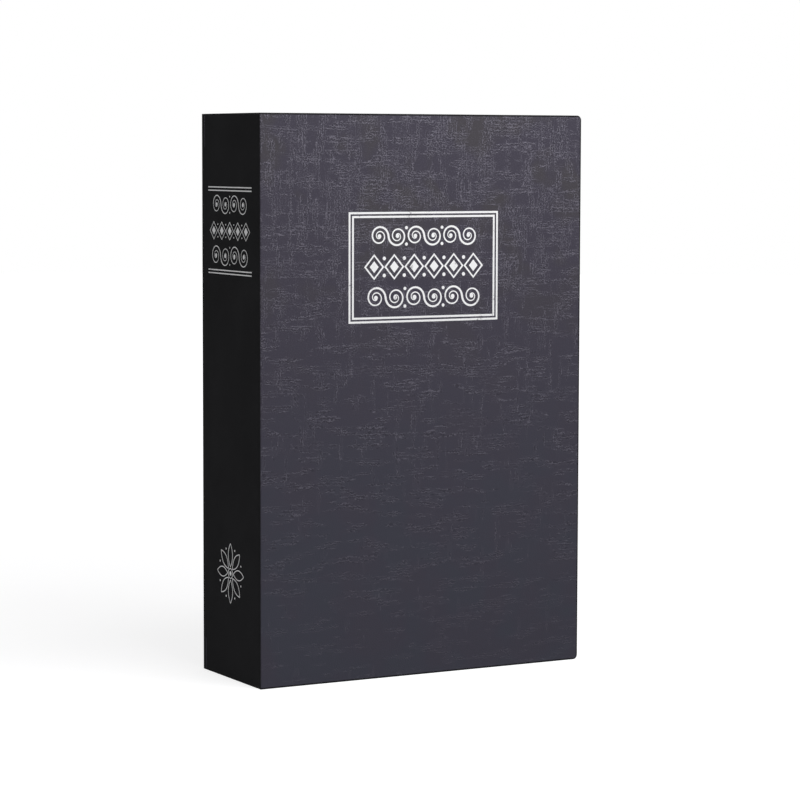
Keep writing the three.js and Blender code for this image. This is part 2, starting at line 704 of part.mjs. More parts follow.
// Cam lock, drawn around its own axis: y = 0 is the lid's outer face, and +Y runs back into the box

// A circle with a flat on its left and right
function flattedCircle(radius, acrossFlats) {
  const corner = Math.acos(acrossFlats / 2 / radius);
  const outline = new THREE.Shape();
  outline.absarc(0, 0, radius, corner, Math.PI - corner, false);
  outline.absarc(0, 0, radius, Math.PI + corner, 2 * Math.PI - corner, false);
  outline.closePath();
  return outline;
}

// A piece of a ring from the front. Angles are in degrees, clockwise from the top.
function ringSector(innerRadius, outerRadius, from, to) {
  const start = THREE.MathUtils.degToRad(90 - to);
  const end = THREE.MathUtils.degToRad(90 - from);
  const outline = new THREE.Shape();
  outline.absarc(0, 0, outerRadius, start, end, false);
  outline.absarc(0, 0, innerRadius, end, start, true);
  outline.closePath();
  return outline;
}

function withRoundHole(outline, radius) {
  outline.holes.push(new THREE.Path().absarc(0, 0, radius, 0, 2 * Math.PI, true));
  return outline;
}

function squareHole(half) {
  return new THREE.Path([[-half, -half], [-half, half], [half, half], [half, -half]]
    .map(([u, v]) => new THREE.Vector2(u, v)));
}

// The stop washer's tab hangs at the bottom at rest and turns with the plug, between this tooth's two ends
function stopTooth() {
  const from = 180 + LOCK_TURN_DEG + STOP_TAB_DEG / 2 + 1;
  const to = 360 + 180 - STOP_TAB_DEG / 2 - 1;
  const outline = ringSector(STOP_TOOTH_INNER, STOP_TOOTH_INNER + STOP_TOOTH_WALL, from, to);
  return plate(outline, LOCK_BARREL - STOP_TOOTH, LOCK_BARREL + STOP_TOOTH);
}

function waferMiddles() {
  return Array.from({ length: WAFERS }, (_, i) => WAFER_FIRST + i * WAFER_PITCH);
}

// Two grooves in the bore, above and below the plug, which the wafers spring into when the key is drawn
function waferChannels() {
  const side = WAFER_WIDTH / 2 + WAFER_PLAY;
  const reach = BORE_RADIUS + WAFER_CHANNEL;
  const middles = waferMiddles();
  return slab(-side, side, middles[0] - WAFER, middles.at(-1) + WAFER, -reach, reach);
}

function lockHousing() {
  const shoulder = PLUG_FACE + PLUG_HEAD + PLUG_END_PLAY;
  const body = turned([
    [BORE_RADIUS, LOCK_BARREL],
    [BORE_RADIUS, shoulder],
    [PLUG_HEAD_RADIUS + PLUG_PLAY, shoulder],
    [PLUG_HEAD_RADIUS + PLUG_PLAY, -BEZEL],
    [BEZEL_RADIUS - BEZEL_CHAMFER, -BEZEL],
    [BEZEL_RADIUS, BEZEL_CHAMFER - BEZEL],
    [BEZEL_RADIUS, 0],
    [LOCK_BARREL_RADIUS, 0],
    [LOCK_BARREL_RADIUS, LOCK_BARREL],
    [BORE_RADIUS, LOCK_BARREL],
  ], LOCK_SIDES);
  const reach = BEZEL_RADIUS + THROUGH;
  const end = LOCK_BARREL + STOP_TOOTH + THROUGH;
  const flat = LOCK_FLATS / 2;
  return cut(
    joined(body, stopTooth()),
    slab(flat, reach, 0, end, -reach, reach),
    slab(-reach, -flat, 0, end, -reach, reach),
    waferChannels(),
  );
}

function lockNut() {
  const corner = LOCK_NUT_FLATS / Math.sqrt(3);
  const hexagon = Array.from({ length: 6 }, (_, i) => [
    corner * Math.cos((i * Math.PI) / 3), corner * Math.sin((i * Math.PI) / 3),
  ]);
  const bore = LOCK_BARREL_RADIUS + PLUG_PLAY;
  const front = STEEL + LOCK_WASHER;
  const back = front + LOCK_NUT;
  const chamfer = corner - LOCK_NUT_FLATS / 2;
  const rounded = turned([
    [0, front],
    [corner, front],
    [corner, back - chamfer / 2],
    [corner - chamfer, back],
    [0, back],
  ], LOCK_SIDES);
  return common(plate(withRoundHole(polygon(hexagon), bore), front, back), rounded);
}

function lockWasher() {
  const outline = [];
  for (let i = 0; i < LOCK_WASHER_TEETH; i += 1) {
    const step = (2 * Math.PI) / LOCK_WASHER_TEETH;
    const root = LOCK_WASHER_RADIUS - LOCK_WASHER_TOOTH;
    const tip = LOCK_WASHER_RADIUS;
    for (const [turn, radius] of [[0, tip], [0.35, tip], [0.5, root], [0.85, root]]) {
      outline.push([radius * Math.cos((i + turn) * step), radius * Math.sin((i + turn) * step)]);
    }
  }
  const bore = LOCK_BARREL_RADIUS + PLUG_PLAY;
  return plate(withRoundHole(polygon(outline), bore), STEEL, STEEL + LOCK_WASHER);
}

// The keyway is a slot with one ward standing into it from the side
function keyway() {
  const side = KEYWAY_WIDTH / 2;
  const top = KEYWAY_HEIGHT / 2;
  const ward = KEYWAY_WARD_HEIGHT / 2;
  return polygon([
    [-side, -top], [side, -top],
    [side, -ward], [side - KEYWAY_WARD, -ward], [side - KEYWAY_WARD, ward], [side, ward],
    [side, top], [-side, top],
  ]);
}

function lockPlug() {
  const body = turned([
    [0, PLUG_FACE],
    [PLUG_HEAD_RADIUS, PLUG_FACE],
    [PLUG_HEAD_RADIUS, PLUG_FACE + PLUG_HEAD],
    [PLUG_RADIUS, PLUG_FACE + PLUG_HEAD],
    [PLUG_RADIUS, PLUG_END],
    [0, PLUG_END],
  ], LOCK_SIDES);
  const half = TAIL_SQUARE / 2;
  const tailEnd = CAM_FACE + CAM - TAIL_SHORT;
  const tail = slab(-half, half, PLUG_END - THROUGH, tailEnd, -half, half);
  const slot = plate(keyway(), PLUG_FACE - THROUGH, PLUG_FACE + KEYWAY_DEPTH);
  const boreDepth = CAM_SCREW_LENGTH + PLUG_PLAY;
  const boreMiddle = CAM_FACE + CAM - boreDepth / 2;
  const bore = bar(CAM_SCREW_RADIUS + PLUG_PLAY, boreDepth, 0, boreMiddle, 0);
  const side = WAFER_WIDTH / 2 + WAFER_PLAY;
  const reach = PLUG_RADIUS + THROUGH;
  const waferSlots = waferMiddles().map((y) => slab(
    -side, side, y - WAFER / 2 - WAFER_PLAY, y + WAFER / 2 + WAFER_PLAY, -reach, reach,
  ));
  return cut(joined(body, tail), slot, bore, ...waferSlots);
}

// A wafer drawn in by the key: its window stands at the height that the key's cut gives it
function wafer(index) {
  const side = WAFER_WIDTH / 2;
  const end = WAFER_REACH;
  const windowSide = WAFER_WINDOW_WIDTH / 2;
  const middle = WAFER_CUT_STEP * ((index % 3) - 1);
  const [low, high] = [middle - WAFER_WINDOW_HEIGHT / 2, middle + WAFER_WINDOW_HEIGHT / 2];
  const outline = polygon([[-side, -end], [side, -end], [side, end], [-side, end]]);
  outline.holes.push(new THREE.Path([
    [-windowSide, low], [-windowSide, high], [windowSide, high], [windowSide, low],
  ].map(([u, v]) => new THREE.Vector2(u, v))));
  return plate(outline, -WAFER / 2, WAFER / 2);
}

function stopWasher() {
  const half = STOP_TAB_DEG / 2;
  const tabReach = STOP_TOOTH_INNER + STOP_TOOTH_WALL;
  const front = PLUG_END;
  const disc = new THREE.Shape().absarc(0, 0, CAM_HUB_RADIUS, 0, 2 * Math.PI, false);
  disc.holes.push(squareHole(TAIL_SQUARE / 2 + PLUG_PLAY));
  const tab = ringSector(CAM_HUB_RADIUS - THROUGH, tabReach, 180 - half, 180 + half);
  return joined(plate(disc, front, CAM_FACE), plate(tab, front, CAM_FACE));
}

// The cam points up at rest, clear of the ledge, and a quarter turn swings it behind the ledge
function lockCam() {
  const tip = CAM_TIP_WIDTH / 2;
  const blend = Math.asin(tip / CAM_HUB_RADIUS);
  const outline = new THREE.Shape();
  outline.absarc(0, 0, CAM_HUB_RADIUS, Math.PI / 2 + blend, Math.PI / 2 - blend + 2 * Math.PI, false);
  outline.lineTo(tip, CAM_REACH - tip / 2);
  outline.lineTo(tip / 2, CAM_REACH);
  outline.lineTo(-tip / 2, CAM_REACH);
  outline.lineTo(-tip, CAM_REACH - tip / 2);
  outline.closePath();
  outline.holes.push(squareHole(TAIL_SQUARE / 2 + PLUG_PLAY));
  return plate(outline, CAM_FACE, CAM_FACE + CAM);
}

function camScrew() {
  const seat = CAM_FACE + CAM;
  const end = seat + CAM_SCREW_HEAD;
  const body = turned([
    [0, seat - CAM_SCREW_LENGTH],
    [CAM_SCREW_RADIUS, seat - CAM_SCREW_LENGTH],
    [CAM_SCREW_RADIUS, seat],
    [CAM_SCREW_HEAD_RADIUS, seat],
    [CAM_SCREW_HEAD_RADIUS, seat + CAM_SCREW_HEAD * 0.55],
    [CAM_SCREW_HEAD_RADIUS * 0.75, end],
    [0, end],
  ], RIVET_SIDES);
  const slot = CROSS_SLOT / 2;
  const span = CROSS_SPAN / 2;
  const floor = seat + CAM_SCREW_HEAD / 3;
  return cut(
    body,
    slab(-slot, slot, floor, end + THROUGH, -span, span),
    slab(-span, span, floor, end + THROUGH, -slot, slot),
  );
}

// Assembly

function place(group, name, geometry, finish, position = [0, 0, 0]) {
  const mesh = new THREE.Mesh(geometry, finish);
  mesh.name = name;
  mesh.position.set(...position);
  group.add(mesh);
}

function bookBody() {
  const group = new THREE.Group();
  place(group, 'back_board', backBoard(), GREYBOARD);
  place(group, 'back_covering', covering(BACK, -1), COVER_PAPER);
  place(group, 'back_endpaper', backEndpaper(), END_PAPER);
  place(group, 'spine_board', spineBoard(), GREYBOARD);
  place(group, 'spine_cloth', spineCloth(), SPINE_CLOTH);
  place(group, 'spine_lining', spineLining(), END_PAPER);
  place(group, 'page_strip_head', headPages(), PAGES);
  place(group, 'page_strip_tail', tailPages(), PAGES);
  place(group, 'page_strip_fore_edge', foreEdgePages(), PAGES);
  place(group, 'strongbox_tray', strongboxTray(), BLACK_STEEL);
  place(group, 'lid_ledge_head', headLedge(), BLACK_STEEL);
  place(group, 'lid_ledge_tail', tailLedge(), BLACK_STEEL);
  place(group, 'lid_ledge_fore_edge', foreEdgeLedge(), BLACK_STEEL);
  place(group, 'floor_mat', floorMat(), FELT);
  trayRivetPlaces().forEach(([x, z], i) => {
    place(group, `tray_rivet_${i + 1}`, trayRivet(), ZINC, [x, FLOOR, z]);
  });
  const hingeFoot = [HINGE_X, HINGE_Y, HINGE_BOTTOM];
  place(group, 'hinge_leaf_fixed', hingeLeaf(true).rotateZ(Math.PI / 2), ZINC, hingeFoot);
  place(group, 'hinge_pin', hingePin(), ZINC, hingeFoot);
  leafRivetHeights().forEach((z, i) => {
    const seat = [TRAY_LEFT + STEEL + LEAF, HINGE_Y + LEAF_RIVET_AT, z];
    place(group, `wall_rivet_${i + 1}`, fixedLeafRivet(), ZINC, seat);
  });
  return group;
}

function frontCover() {
  const group = new THREE.Group();
  place(group, 'front_board', board(FRONT, 1), GREYBOARD);
  place(group, 'front_covering', covering(FRONT, 1), COVER_PAPER);
  place(group, 'front_endpaper', endpaper(FRONT, 1, SPINE_FACE + ENDPAPER_INSET), END_PAPER);
  place(group, 'front_joint_cloth', jointCloth(FRONT, 1), SPINE_CLOTH);
  return group;
}

function camLock() {
  const group = new THREE.Group();
  group.position.set(LOCK_X, LID_FACE, LOCK_Z);
  place(group, 'lock_housing', lockHousing(), CHROME);
  place(group, 'lock_washer', lockWasher(), ZINC);
  place(group, 'lock_nut', lockNut(), ZINC);
  place(group, 'lock_plug', lockPlug(), CHROME);
  waferMiddles().forEach((y, i) => {
    place(group, `wafer_${i + 1}`, wafer(i), BRASS, [0, y, 0]);
  });
  place(group, 'stop_washer', stopWasher(), ZINC);
  place(group, 'lock_cam', lockCam(), ZINC);
  place(group, 'cam_screw', camScrew(), ZINC);
  return group;
}

function lid() {
  const group = new THREE.Group();
  place(group, 'lid_panel', lidPanel(), BLACK_STEEL);
  place(group, 'hinge_leaf_moving', hingeLeaf(false), ZINC, [HINGE_X, HINGE_Y, HINGE_BOTTOM]);
  leafRivetHeights().forEach((z, i) => {
    const seat = [HINGE_X + LEAF_RIVET_AT, HINGE_Y + BARREL_RADIUS - LEAF, z];
    place(group, `lid_rivet_${i + 1}`, movingLeafRivet(), ZINC, seat);
  });
  group.add(camLock());
  return group;
}

const group = new THREE.Group();
group.add(bookBody(), frontCover(), lid());

export default group;
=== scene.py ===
"""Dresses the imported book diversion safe: a hardcover book case around a steel strongbox.

The sections follow the object as it is put together, from the strongbox out to the foil on the cover.
Lengths are metres. The book stands on its tail at z = 0, front cover towards -Y, spine towards -X.
"""

import json
import math

import bmesh
import bpy
from mathutils import Matrix, Vector, noise

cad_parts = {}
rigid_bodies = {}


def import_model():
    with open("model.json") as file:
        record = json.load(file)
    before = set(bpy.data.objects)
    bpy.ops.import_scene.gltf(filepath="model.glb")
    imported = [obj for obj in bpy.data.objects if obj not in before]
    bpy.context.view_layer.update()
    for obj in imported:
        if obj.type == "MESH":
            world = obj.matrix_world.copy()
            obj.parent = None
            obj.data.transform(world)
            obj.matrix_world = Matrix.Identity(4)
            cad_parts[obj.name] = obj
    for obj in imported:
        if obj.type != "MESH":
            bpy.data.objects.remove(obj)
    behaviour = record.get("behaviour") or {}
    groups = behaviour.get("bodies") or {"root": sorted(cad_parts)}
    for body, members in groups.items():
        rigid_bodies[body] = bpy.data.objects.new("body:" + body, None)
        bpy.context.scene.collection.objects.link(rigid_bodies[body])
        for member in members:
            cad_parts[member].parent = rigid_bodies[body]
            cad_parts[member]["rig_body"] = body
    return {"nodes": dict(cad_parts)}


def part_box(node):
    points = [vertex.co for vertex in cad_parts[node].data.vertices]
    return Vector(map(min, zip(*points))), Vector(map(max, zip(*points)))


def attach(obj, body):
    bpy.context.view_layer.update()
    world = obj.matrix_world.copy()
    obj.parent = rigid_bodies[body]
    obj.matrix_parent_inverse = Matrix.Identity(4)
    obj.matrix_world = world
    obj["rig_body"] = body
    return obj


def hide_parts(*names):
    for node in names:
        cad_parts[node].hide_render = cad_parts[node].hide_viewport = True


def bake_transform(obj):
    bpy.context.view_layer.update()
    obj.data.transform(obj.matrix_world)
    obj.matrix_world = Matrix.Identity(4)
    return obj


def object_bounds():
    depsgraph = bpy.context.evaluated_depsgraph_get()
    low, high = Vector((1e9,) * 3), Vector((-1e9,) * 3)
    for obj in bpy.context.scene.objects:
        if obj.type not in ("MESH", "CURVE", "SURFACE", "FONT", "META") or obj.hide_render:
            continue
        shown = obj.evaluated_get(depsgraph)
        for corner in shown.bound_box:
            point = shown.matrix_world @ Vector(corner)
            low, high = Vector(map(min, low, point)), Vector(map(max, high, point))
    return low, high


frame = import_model()
cad_bounds = [list(corner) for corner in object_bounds()]
nodes = frame["nodes"]
scene = bpy.context.scene
scene.view_settings.view_transform = "Standard"
MM = 0.001

# Camera: a long lens on the spine side, a little below the book's head and looking slightly down,
# so that the spine and the front cover show and the head does not. Its distance and angles were
# fitted to the six corners of the book in the photograph.
PHOTO_PIXELS = 800
FOCAL_PIXELS = 2880
SENSOR = 36
EYE = Vector((-0.601, -1.097, 0.2248))
YAW = math.radians(28.86)
PITCH = math.radians(4.96)
ROLL = math.radians(0.146)


def put(name, data):
    """Adds an object to the scene, at the origin."""
    made = bpy.data.objects.new(name, data)
    scene.collection.objects.link(made)
    return made


lens = bpy.data.cameras.new("photo_camera")
lens.sensor_width = SENSOR
lens.lens = FOCAL_PIXELS / PHOTO_PIXELS * SENSOR
camera = put("photo_camera", lens)
looking = Vector((math.sin(YAW) * math.cos(PITCH), math.cos(YAW) * math.cos(PITCH), -math.sin(PITCH)))
camera.location = EYE
camera.rotation_mode = "QUATERNION"
rolled = Matrix.Rotation(-ROLL, 3, looking).to_quaternion()
camera.rotation_quaternion = rolled @ looking.to_track_quat("-Z", "Y")
scene.camera = camera


# Studio: a pale seamless floor that runs out to a white surround, a large soft lamp above and in
# front of the book, a weak one on the spine's side, and the dim light of the room. The floor and
# the surround read as white to the camera and in reflections, and add no light of their own.
KEY_PLACE = Vector((0.08, -0.29, 0.54))
KEY_SIZE = 0.4
KEY_WATTS = 2.66
FILL_PLACE = Vector((-0.75, -0.50, 0.16))
FILL_SIZE = 0.5
FILL_WATTS = 1.0
LAMP_TARGET = Vector((0.0, 0.0, 0.13))
ROOM_LIGHT = 0.2
FLOOR_RADIUS = 4.0
FLOOR_SIDES = 96
FLOOR_COLOUR = (0.45, 0.45, 0.46)
# How white the floor reads close to the book and far from it, and where the one passes to the other
LIFT_NEAR = 0.78
LIFT_FAR = 1.0
LIFT_FROM = 0.25
LIFT_TO = 1.3


def feed(tree, socket, value):
    """Gives a socket another node's output, or a plain value."""
    if isinstance(value, bpy.types.NodeSocket):
        tree.links.new(value, socket)
    else:
        socket.default_value = value


def add(tree, kind, inputs=(), **settings):
    """Adds a node. Its inputs are named, or numbered where several share a name."""
    made = tree.nodes.new(kind)
    for name, value in settings.items():
        setattr(made, name, value)
    for key, value in dict(inputs).items():
        feed(tree, made.inputs[key], value)
    return made


def calc(tree, operation, a, b=0.0, clamp=False):
    return add(tree, "ShaderNodeMath", {0: a, 1: b}, operation=operation, use_clamp=clamp).outputs[0]


def times(tree, a, b, clamp=False):
    return calc(tree, "MULTIPLY", a, b, clamp)


def span(tree, value, low, high, out_low=0.0, out_high=1.0, soft=True):
    """Carries low..high over to out_low..out_high and holds it there beyond both ends."""
    inputs = {"Value": value, "From Min": low, "From Max": high, "To Min": out_low, "To Max": out_high}
    kind = "SMOOTHSTEP" if soft else "LINEAR"
    return add(tree, "ShaderNodeMapRange", inputs, interpolation_type=kind).outputs[0]


def own_place(tree):
    """Where a point of the surface lies, in metres from the object's origin."""
    return add(tree, "ShaderNodeTexCoord").outputs["Object"]


def seen_directly(tree):
    """1 for rays from the camera and for mirror and glass rays, 0 for light on its way to a surface."""
    path = add(tree, "ShaderNodeLightPath").outputs
    shiny = calc(tree, "MAXIMUM", path["Is Glossy Ray"], path["Is Transmission Ray"])
    return calc(tree, "MAXIMUM", path["Is Camera Ray"], shiny)


def studio_floor():
    finish = bpy.data.materials.new("studio_floor")
    finish.use_nodes = True
    tree = finish.node_tree
    shader = tree.nodes["Principled BSDF"]
    shader.inputs["Base Color"].default_value = (*FLOOR_COLOUR, 1)
    shader.inputs["Roughness"].default_value = 0.9
    shader.inputs["Specular IOR Level"].default_value = 0.1
    out_by = add(tree, "ShaderNodeVectorMath", {0: own_place(tree)}, operation="LENGTH").outputs["Value"]
    level = span(tree, out_by, LIFT_FROM, LIFT_TO, LIFT_NEAR, LIFT_FAR, soft=False)
    lift = add(tree, "ShaderNodeEmission", {"Strength": times(tree, seen_directly(tree), level)})
    both = add(tree, "ShaderNodeAddShader", {0: shader.outputs[0], 1: lift.outputs[0]})
    tree.links.new(both.outputs[0], tree.nodes["Material Output"].inputs["Surface"])
    return finish


def mesh_of(name, shape):
    """What was drawn in bmesh, as a mesh."""
    mesh = bpy.data.meshes.new(name)
    shape.to_mesh(mesh)
    shape.free()
    return mesh


shape = bmesh.new()
bmesh.ops.create_circle(shape, cap_ends=True, segments=FLOOR_SIDES, radius=FLOOR_RADIUS)
floor = put("studio_floor", mesh_of("studio_floor", shape))
floor.data.materials.append(studio_floor())


def soft_lamp(name, place, size, watts):
    lamp = bpy.data.lights.new(name, "AREA")
    lamp.shape = "SQUARE"
    lamp.size = size
    lamp.energy = watts
    stand = put(name, lamp)
    stand.location = place
    stand.rotation_mode = "QUATERNION"
    stand.rotation_quaternion = (LAMP_TARGET - place).to_track_quat("-Z", "Y")
    stand.visible_camera = False


soft_lamp("key_lamp", KEY_PLACE, KEY_SIZE, KEY_WATTS)
soft_lamp("fill_lamp", FILL_PLACE, FILL_SIZE, FILL_WATTS)

room = bpy.data.worlds.new("studio_room")
room.use_nodes = True
scene.world = room
sky = room.node_tree
background = sky.nodes["Background"].inputs
background["Color"].default_value = (1, 1, 1, 1)
feed(sky, background["Strength"], span(sky, seen_directly(sky), 0.0, 1.0, ROOM_LIGHT, 1.0, soft=False))


# Strongbox tray and lid ledges: folded one-millimetre sheet steel, powder coated black after
# folding, so every edge is a little round and the coat has a fine orange peel. The ledges are
# spot-welded angle strips inside the walls.
SHEET_EDGE = 0.16 * MM
ROUNDED_ABOVE = math.radians(42)
SMOOTH_BELOW = math.radians(60)
SAME_POINT = 0.002 * MM
SAME_PLANE = math.radians(0.6)
COAT_BLACK = (0.017, 0.017, 0.019)
COAT_RUBBED = (0.075, 0.076, 0.08)


def plus(tree, a, b):
    return calc(tree, "ADD", a, b)


def millimetres(tree):
    inputs = {0: own_place(tree), "Scale": 1 / MM}
    return add(tree, "ShaderNodeVectorMath", inputs, operation="SCALE").outputs[0]


def cloud(tree, place, scale, detail=2.0):
    return add(tree, "ShaderNodeTexNoise", {"Vector": place, "Scale": scale, "Detail": detail}).outputs[0]


def group_tree(name, outputs, inputs):
    """An empty group of shader nodes: its tree and what its named number inputs give."""
    tree = bpy.data.node_groups.new(name, "ShaderNodeTree")
    for label in outputs:
        tree.interface.new_socket(label, in_out="OUTPUT", socket_type="NodeSocketFloat")
    for label, start in inputs.items():
        tree.interface.new_socket(label, in_out="INPUT", socket_type="NodeSocketFloat").default_value = start
    return tree, add(tree, "NodeGroupInput").outputs


def end_group(tree, results):
    out = add(tree, "NodeGroupOutput").inputs
    for label, value in results.items():
        feed(tree, out[label], value)
    return tree


def grain_group():
    """Uneven tone and height at a given grain, in the object's own millimetres."""
    tree, given = group_tree("grain", ("Tone", "Height"), {"Grain": 1.0, "Blotch": 12.0})
    stretch = tree.interface.new_socket("Stretch", in_out="INPUT", socket_type="NodeSocketVector")
    stretch.default_value = (1, 1, 1)
    stretched = {0: millimetres(tree), 1: given["Stretch"]}
    place = add(tree, "ShaderNodeVectorMath", stretched, operation="MULTIPLY").outputs[0]
    fine = cloud(tree, place, calc(tree, "DIVIDE", 1.0, given["Grain"]), 3.0)
    wide = cloud(tree, place, calc(tree, "DIVIDE", 1.0, given["Blotch"]))
    tone = plus(tree, times(tree, fine, 0.4), times(tree, wide, 0.6))
    return end_group(tree, {"Tone": span(tree, tone, 0.3, 0.7, soft=False), "Height": fine})


def edge_group():
    """Where a surface turns over an edge, broken up as wear is. Reach is in metres."""
    tree, given = group_tree("edge_rub", ("Rub",), {"Reach": 0.5 * MM, "Breakup": 6.0})
    eased = add(tree, "ShaderNodeBevel", {"Radius": given["Reach"]}, samples=4).outputs[0]
    true = add(tree, "ShaderNodeNewGeometry").outputs["True Normal"]
    flat = add(tree, "ShaderNodeVectorMath", {0: eased, 1: true}, operation="DOT_PRODUCT").outputs["Value"]
    edge = span(tree, flat, 0.985, 0.86, soft=False)
    broken = cloud(tree, millimetres(tree), calc(tree, "DIVIDE", 1.0, given["Breakup"]), 4.0)
    broken = span(tree, broken, 0.42, 0.62, soft=False)
    return end_group(tree, {"Rub": times(tree, edge, broken, clamp=True)})


grain = grain_group()
edge_rub = edge_group()


def begin_finish(name, colour, roughness, **sockets):
    """A new material whose even values sit on the shader's own sockets."""
    finish = bpy.data.materials.new(name)
    finish.use_nodes = True
    shader = finish.node_tree.nodes["Principled BSDF"]
    shader.inputs["Base Color"].default_value = (*colour, 1)
    shader.inputs["Roughness"].default_value = roughness
    for socket, value in sockets.items():
        shader.inputs[socket.replace("_", " ")].default_value = value
    return finish, finish.node_tree, shader


def use_group(tree, group, inputs):
    made = tree.nodes.new("ShaderNodeGroup")
    made.node_tree = group
    for name, value in inputs.items():
        feed(tree, made.inputs[name], value)
    return made.outputs


def between(tree, factor, a, b):
    """A colour that goes from a to b with the factor."""
    a = a if isinstance(a, bpy.types.NodeSocket) else (*a, 1)
    b = b if isinstance(b, bpy.types.NodeSocket) else (*b, 1)
    return add(tree, "ShaderNodeMix", {0: factor, 6: a, 7: b}, data_type="RGBA").outputs[2]


def emboss(tree, shader, height, depth):
    """Raises the surface by height, at most depth metres."""
    bump = add(tree, "ShaderNodeBump", {"Strength": 1.0, "Distance": depth, "Height": height})
    feed(tree, shader.inputs["Normal"], bump.outputs[0])


def powder_coat():
    finish, tree, shader = begin_finish("powder_coat", COAT_BLACK, 0.42)
    peel = use_group(tree, grain, {"Grain": 0.8, "Blotch": 25.0})
    rub = use_group(tree, edge_rub, {"Reach": 0.45 * MM, "Breakup": 7.0})["Rub"]
    dusty = tuple(1.7 * c for c in COAT_BLACK)
    colour = between(tree, span(tree, peel["Tone"], 0.35, 0.9), COAT_BLACK, dusty)
    feed(tree, shader.inputs["Base Color"], between(tree, rub, colour, COAT_RUBBED))
    feed(tree, shader.inputs["Roughness"], span(tree, peel["Tone"], 0.0, 1.0, 0.36, 0.52))
    emboss(tree, shader, peel["Height"], 0.05 * MM)
    return finish


def keep_result(piece):
    """Makes what the piece's modifiers give its own mesh."""
    graph = bpy.context.evaluated_depsgraph_get()
    piece.data = bpy.data.meshes.new_from_object(piece.evaluated_get(graph))
    piece.modifiers.clear()


def merged_copy(name, ending):
    """A CAD piece again, with its loose triangles joined and those of one plane made one face."""
    shape = bmesh.new()
    shape.from_mesh(nodes[name].data)
    bmesh.ops.remove_doubles(shape, verts=shape.verts, dist=SAME_POINT)
    bmesh.ops.dissolve_limit(shape, angle_limit=SAME_PLANE, verts=shape.verts, edges=shape.edges)
    return put(f"{name}_{ending}", mesh_of(f"{name}_{ending}", shape))


def softened(name, ending, finish, edge):
    """A merged copy of a CAD piece with its hard edges eased, which then stands for it."""
    piece = merged_copy(name, ending)
    ease = piece.modifiers.new("ease", "BEVEL")
    ease.width = edge
    ease.segments = 2
    ease.limit_method = "ANGLE"
    ease.angle_limit = ROUNDED_ABOVE
    keep_result(piece)
    piece.data.shade_smooth()
    piece.data.set_sharp_from_angle(angle=SMOOTH_BELOW)
    even = piece.modifiers.new("even", "WEIGHTED_NORMAL")
    even.keep_sharp = True
    keep_result(piece)
    piece.data.materials.clear()
    piece.data.materials.append(finish)
    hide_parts(name)
    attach(piece, nodes[name]["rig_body"])
    return piece


coat = powder_coat()
for name in ("strongbox_tray", "lid_ledge_head", "lid_ledge_tail", "lid_ledge_fore_edge"):
    softened(name, "coated", coat, SHEET_EDGE)


# Piano hinge: two zinc-plated leaves whose ends are rolled in turns round one pin. The plating is
# dull silver with fine lines along the strip from drawing the steel.
ZINC = (0.50, 0.51, 0.52)
ZINC_DULL = (0.33, 0.34, 0.35)
LEAF_EDGE = 0.1 * MM


def zinc_plate():
    finish, tree, shader = begin_finish("zinc_plate", ZINC, 0.38, Metallic=1.0)
    drawn = use_group(tree, grain, {"Grain": 0.35, "Blotch": 9.0, "Stretch": (1, 1, 0.06)})
    colour = between(tree, span(tree, drawn["Tone"], 0.2, 0.8), ZINC_DULL, ZINC)
    feed(tree, shader.inputs["Base Color"], colour)
    feed(tree, shader.inputs["Roughness"], span(tree, drawn["Tone"], 0.0, 1.0, 0.5, 0.3))
    emboss(tree, shader, drawn["Height"], 0.012 * MM)
    return finish


zinc = zinc_plate()
for name in ("hinge_leaf_fixed", "hinge_leaf_moving", "hinge_pin"):
    softened(name, "plated", zinc, LEAF_EDGE)


# Rivets: steel, zinc plated, each with a domed head, a shank and a tail set on the far side. Four
# hold the tray to the back cover, four the fixed leaf to the wall, and four the other to the lid.
RIVET_SIDES = 28
DOME_STEPS = 6
DOME_SWEEP = math.radians(80)
# Each kind of rivet in millimetres, in the order of the measures
RIVET_MEASURES = ("Head Radius", "Head", "Shank Radius", "Grip", "Tail Radius", "Tail")
TRAY_RIVET = (4.0, 1.3, 2.0, 3.1, 2.9, 0.8)
WALL_RIVET = (2.6, 1.0, 1.5, 1.0, 1.5, 0.5)
LID_RIVET = (2.6, 1.0, 1.5, 1.8, 2.2, 0.8)


def geometry_tree(name, inputs):
    """An empty Geometry Nodes tree with named inputs. Returns it, their sockets and its output."""
    tree = bpy.data.node_groups.new(name, "GeometryNodeTree")
    tree.interface.new_socket("Geometry", in_out="OUTPUT", socket_type="NodeSocketGeometry")
    for label, kind in inputs.items():
        tree.interface.new_socket(label, in_out="INPUT", socket_type=f"NodeSocket{kind}")
    given = tree.nodes.new("NodeGroupInput").outputs
    return tree, given, tree.nodes.new("NodeGroupOutput").inputs["Geometry"]


def finish_tree(tree, geometry, material, result):
    """Ends a tree: real meshes in place of instances, in their material."""
    real = add(tree, "GeometryNodeRealizeInstances", {"Geometry": geometry}).outputs[0]
    dressed = add(tree, "GeometryNodeSetMaterial", {"Geometry": real, "Material": material}).outputs[0]
    feed(tree, result, dressed)


def vector(tree, x=0.0, y=0.0, z=0.0):
    return add(tree, "ShaderNodeCombineXYZ", {0: x, 1: y, 2: z}).outputs[0]


def apart(tree, place):
    return add(tree, "ShaderNodeSeparateXYZ", {0: place}).outputs


def vertex(tree):
    """X, Y and Z of each point of the geometry."""
    return apart(tree, add(tree, "GeometryNodeInputPosition").outputs[0])


def join(tree, *parts):
    whole = tree.nodes.new("GeometryNodeJoinGeometry")
    for part in parts:
        tree.links.new(part, whole.inputs[0])
    return whole.outputs[0]


def reshaped(tree, geometry, place):
    return add(tree, "GeometryNodeSetPosition", {"Geometry": geometry, "Position": place}).outputs[0]


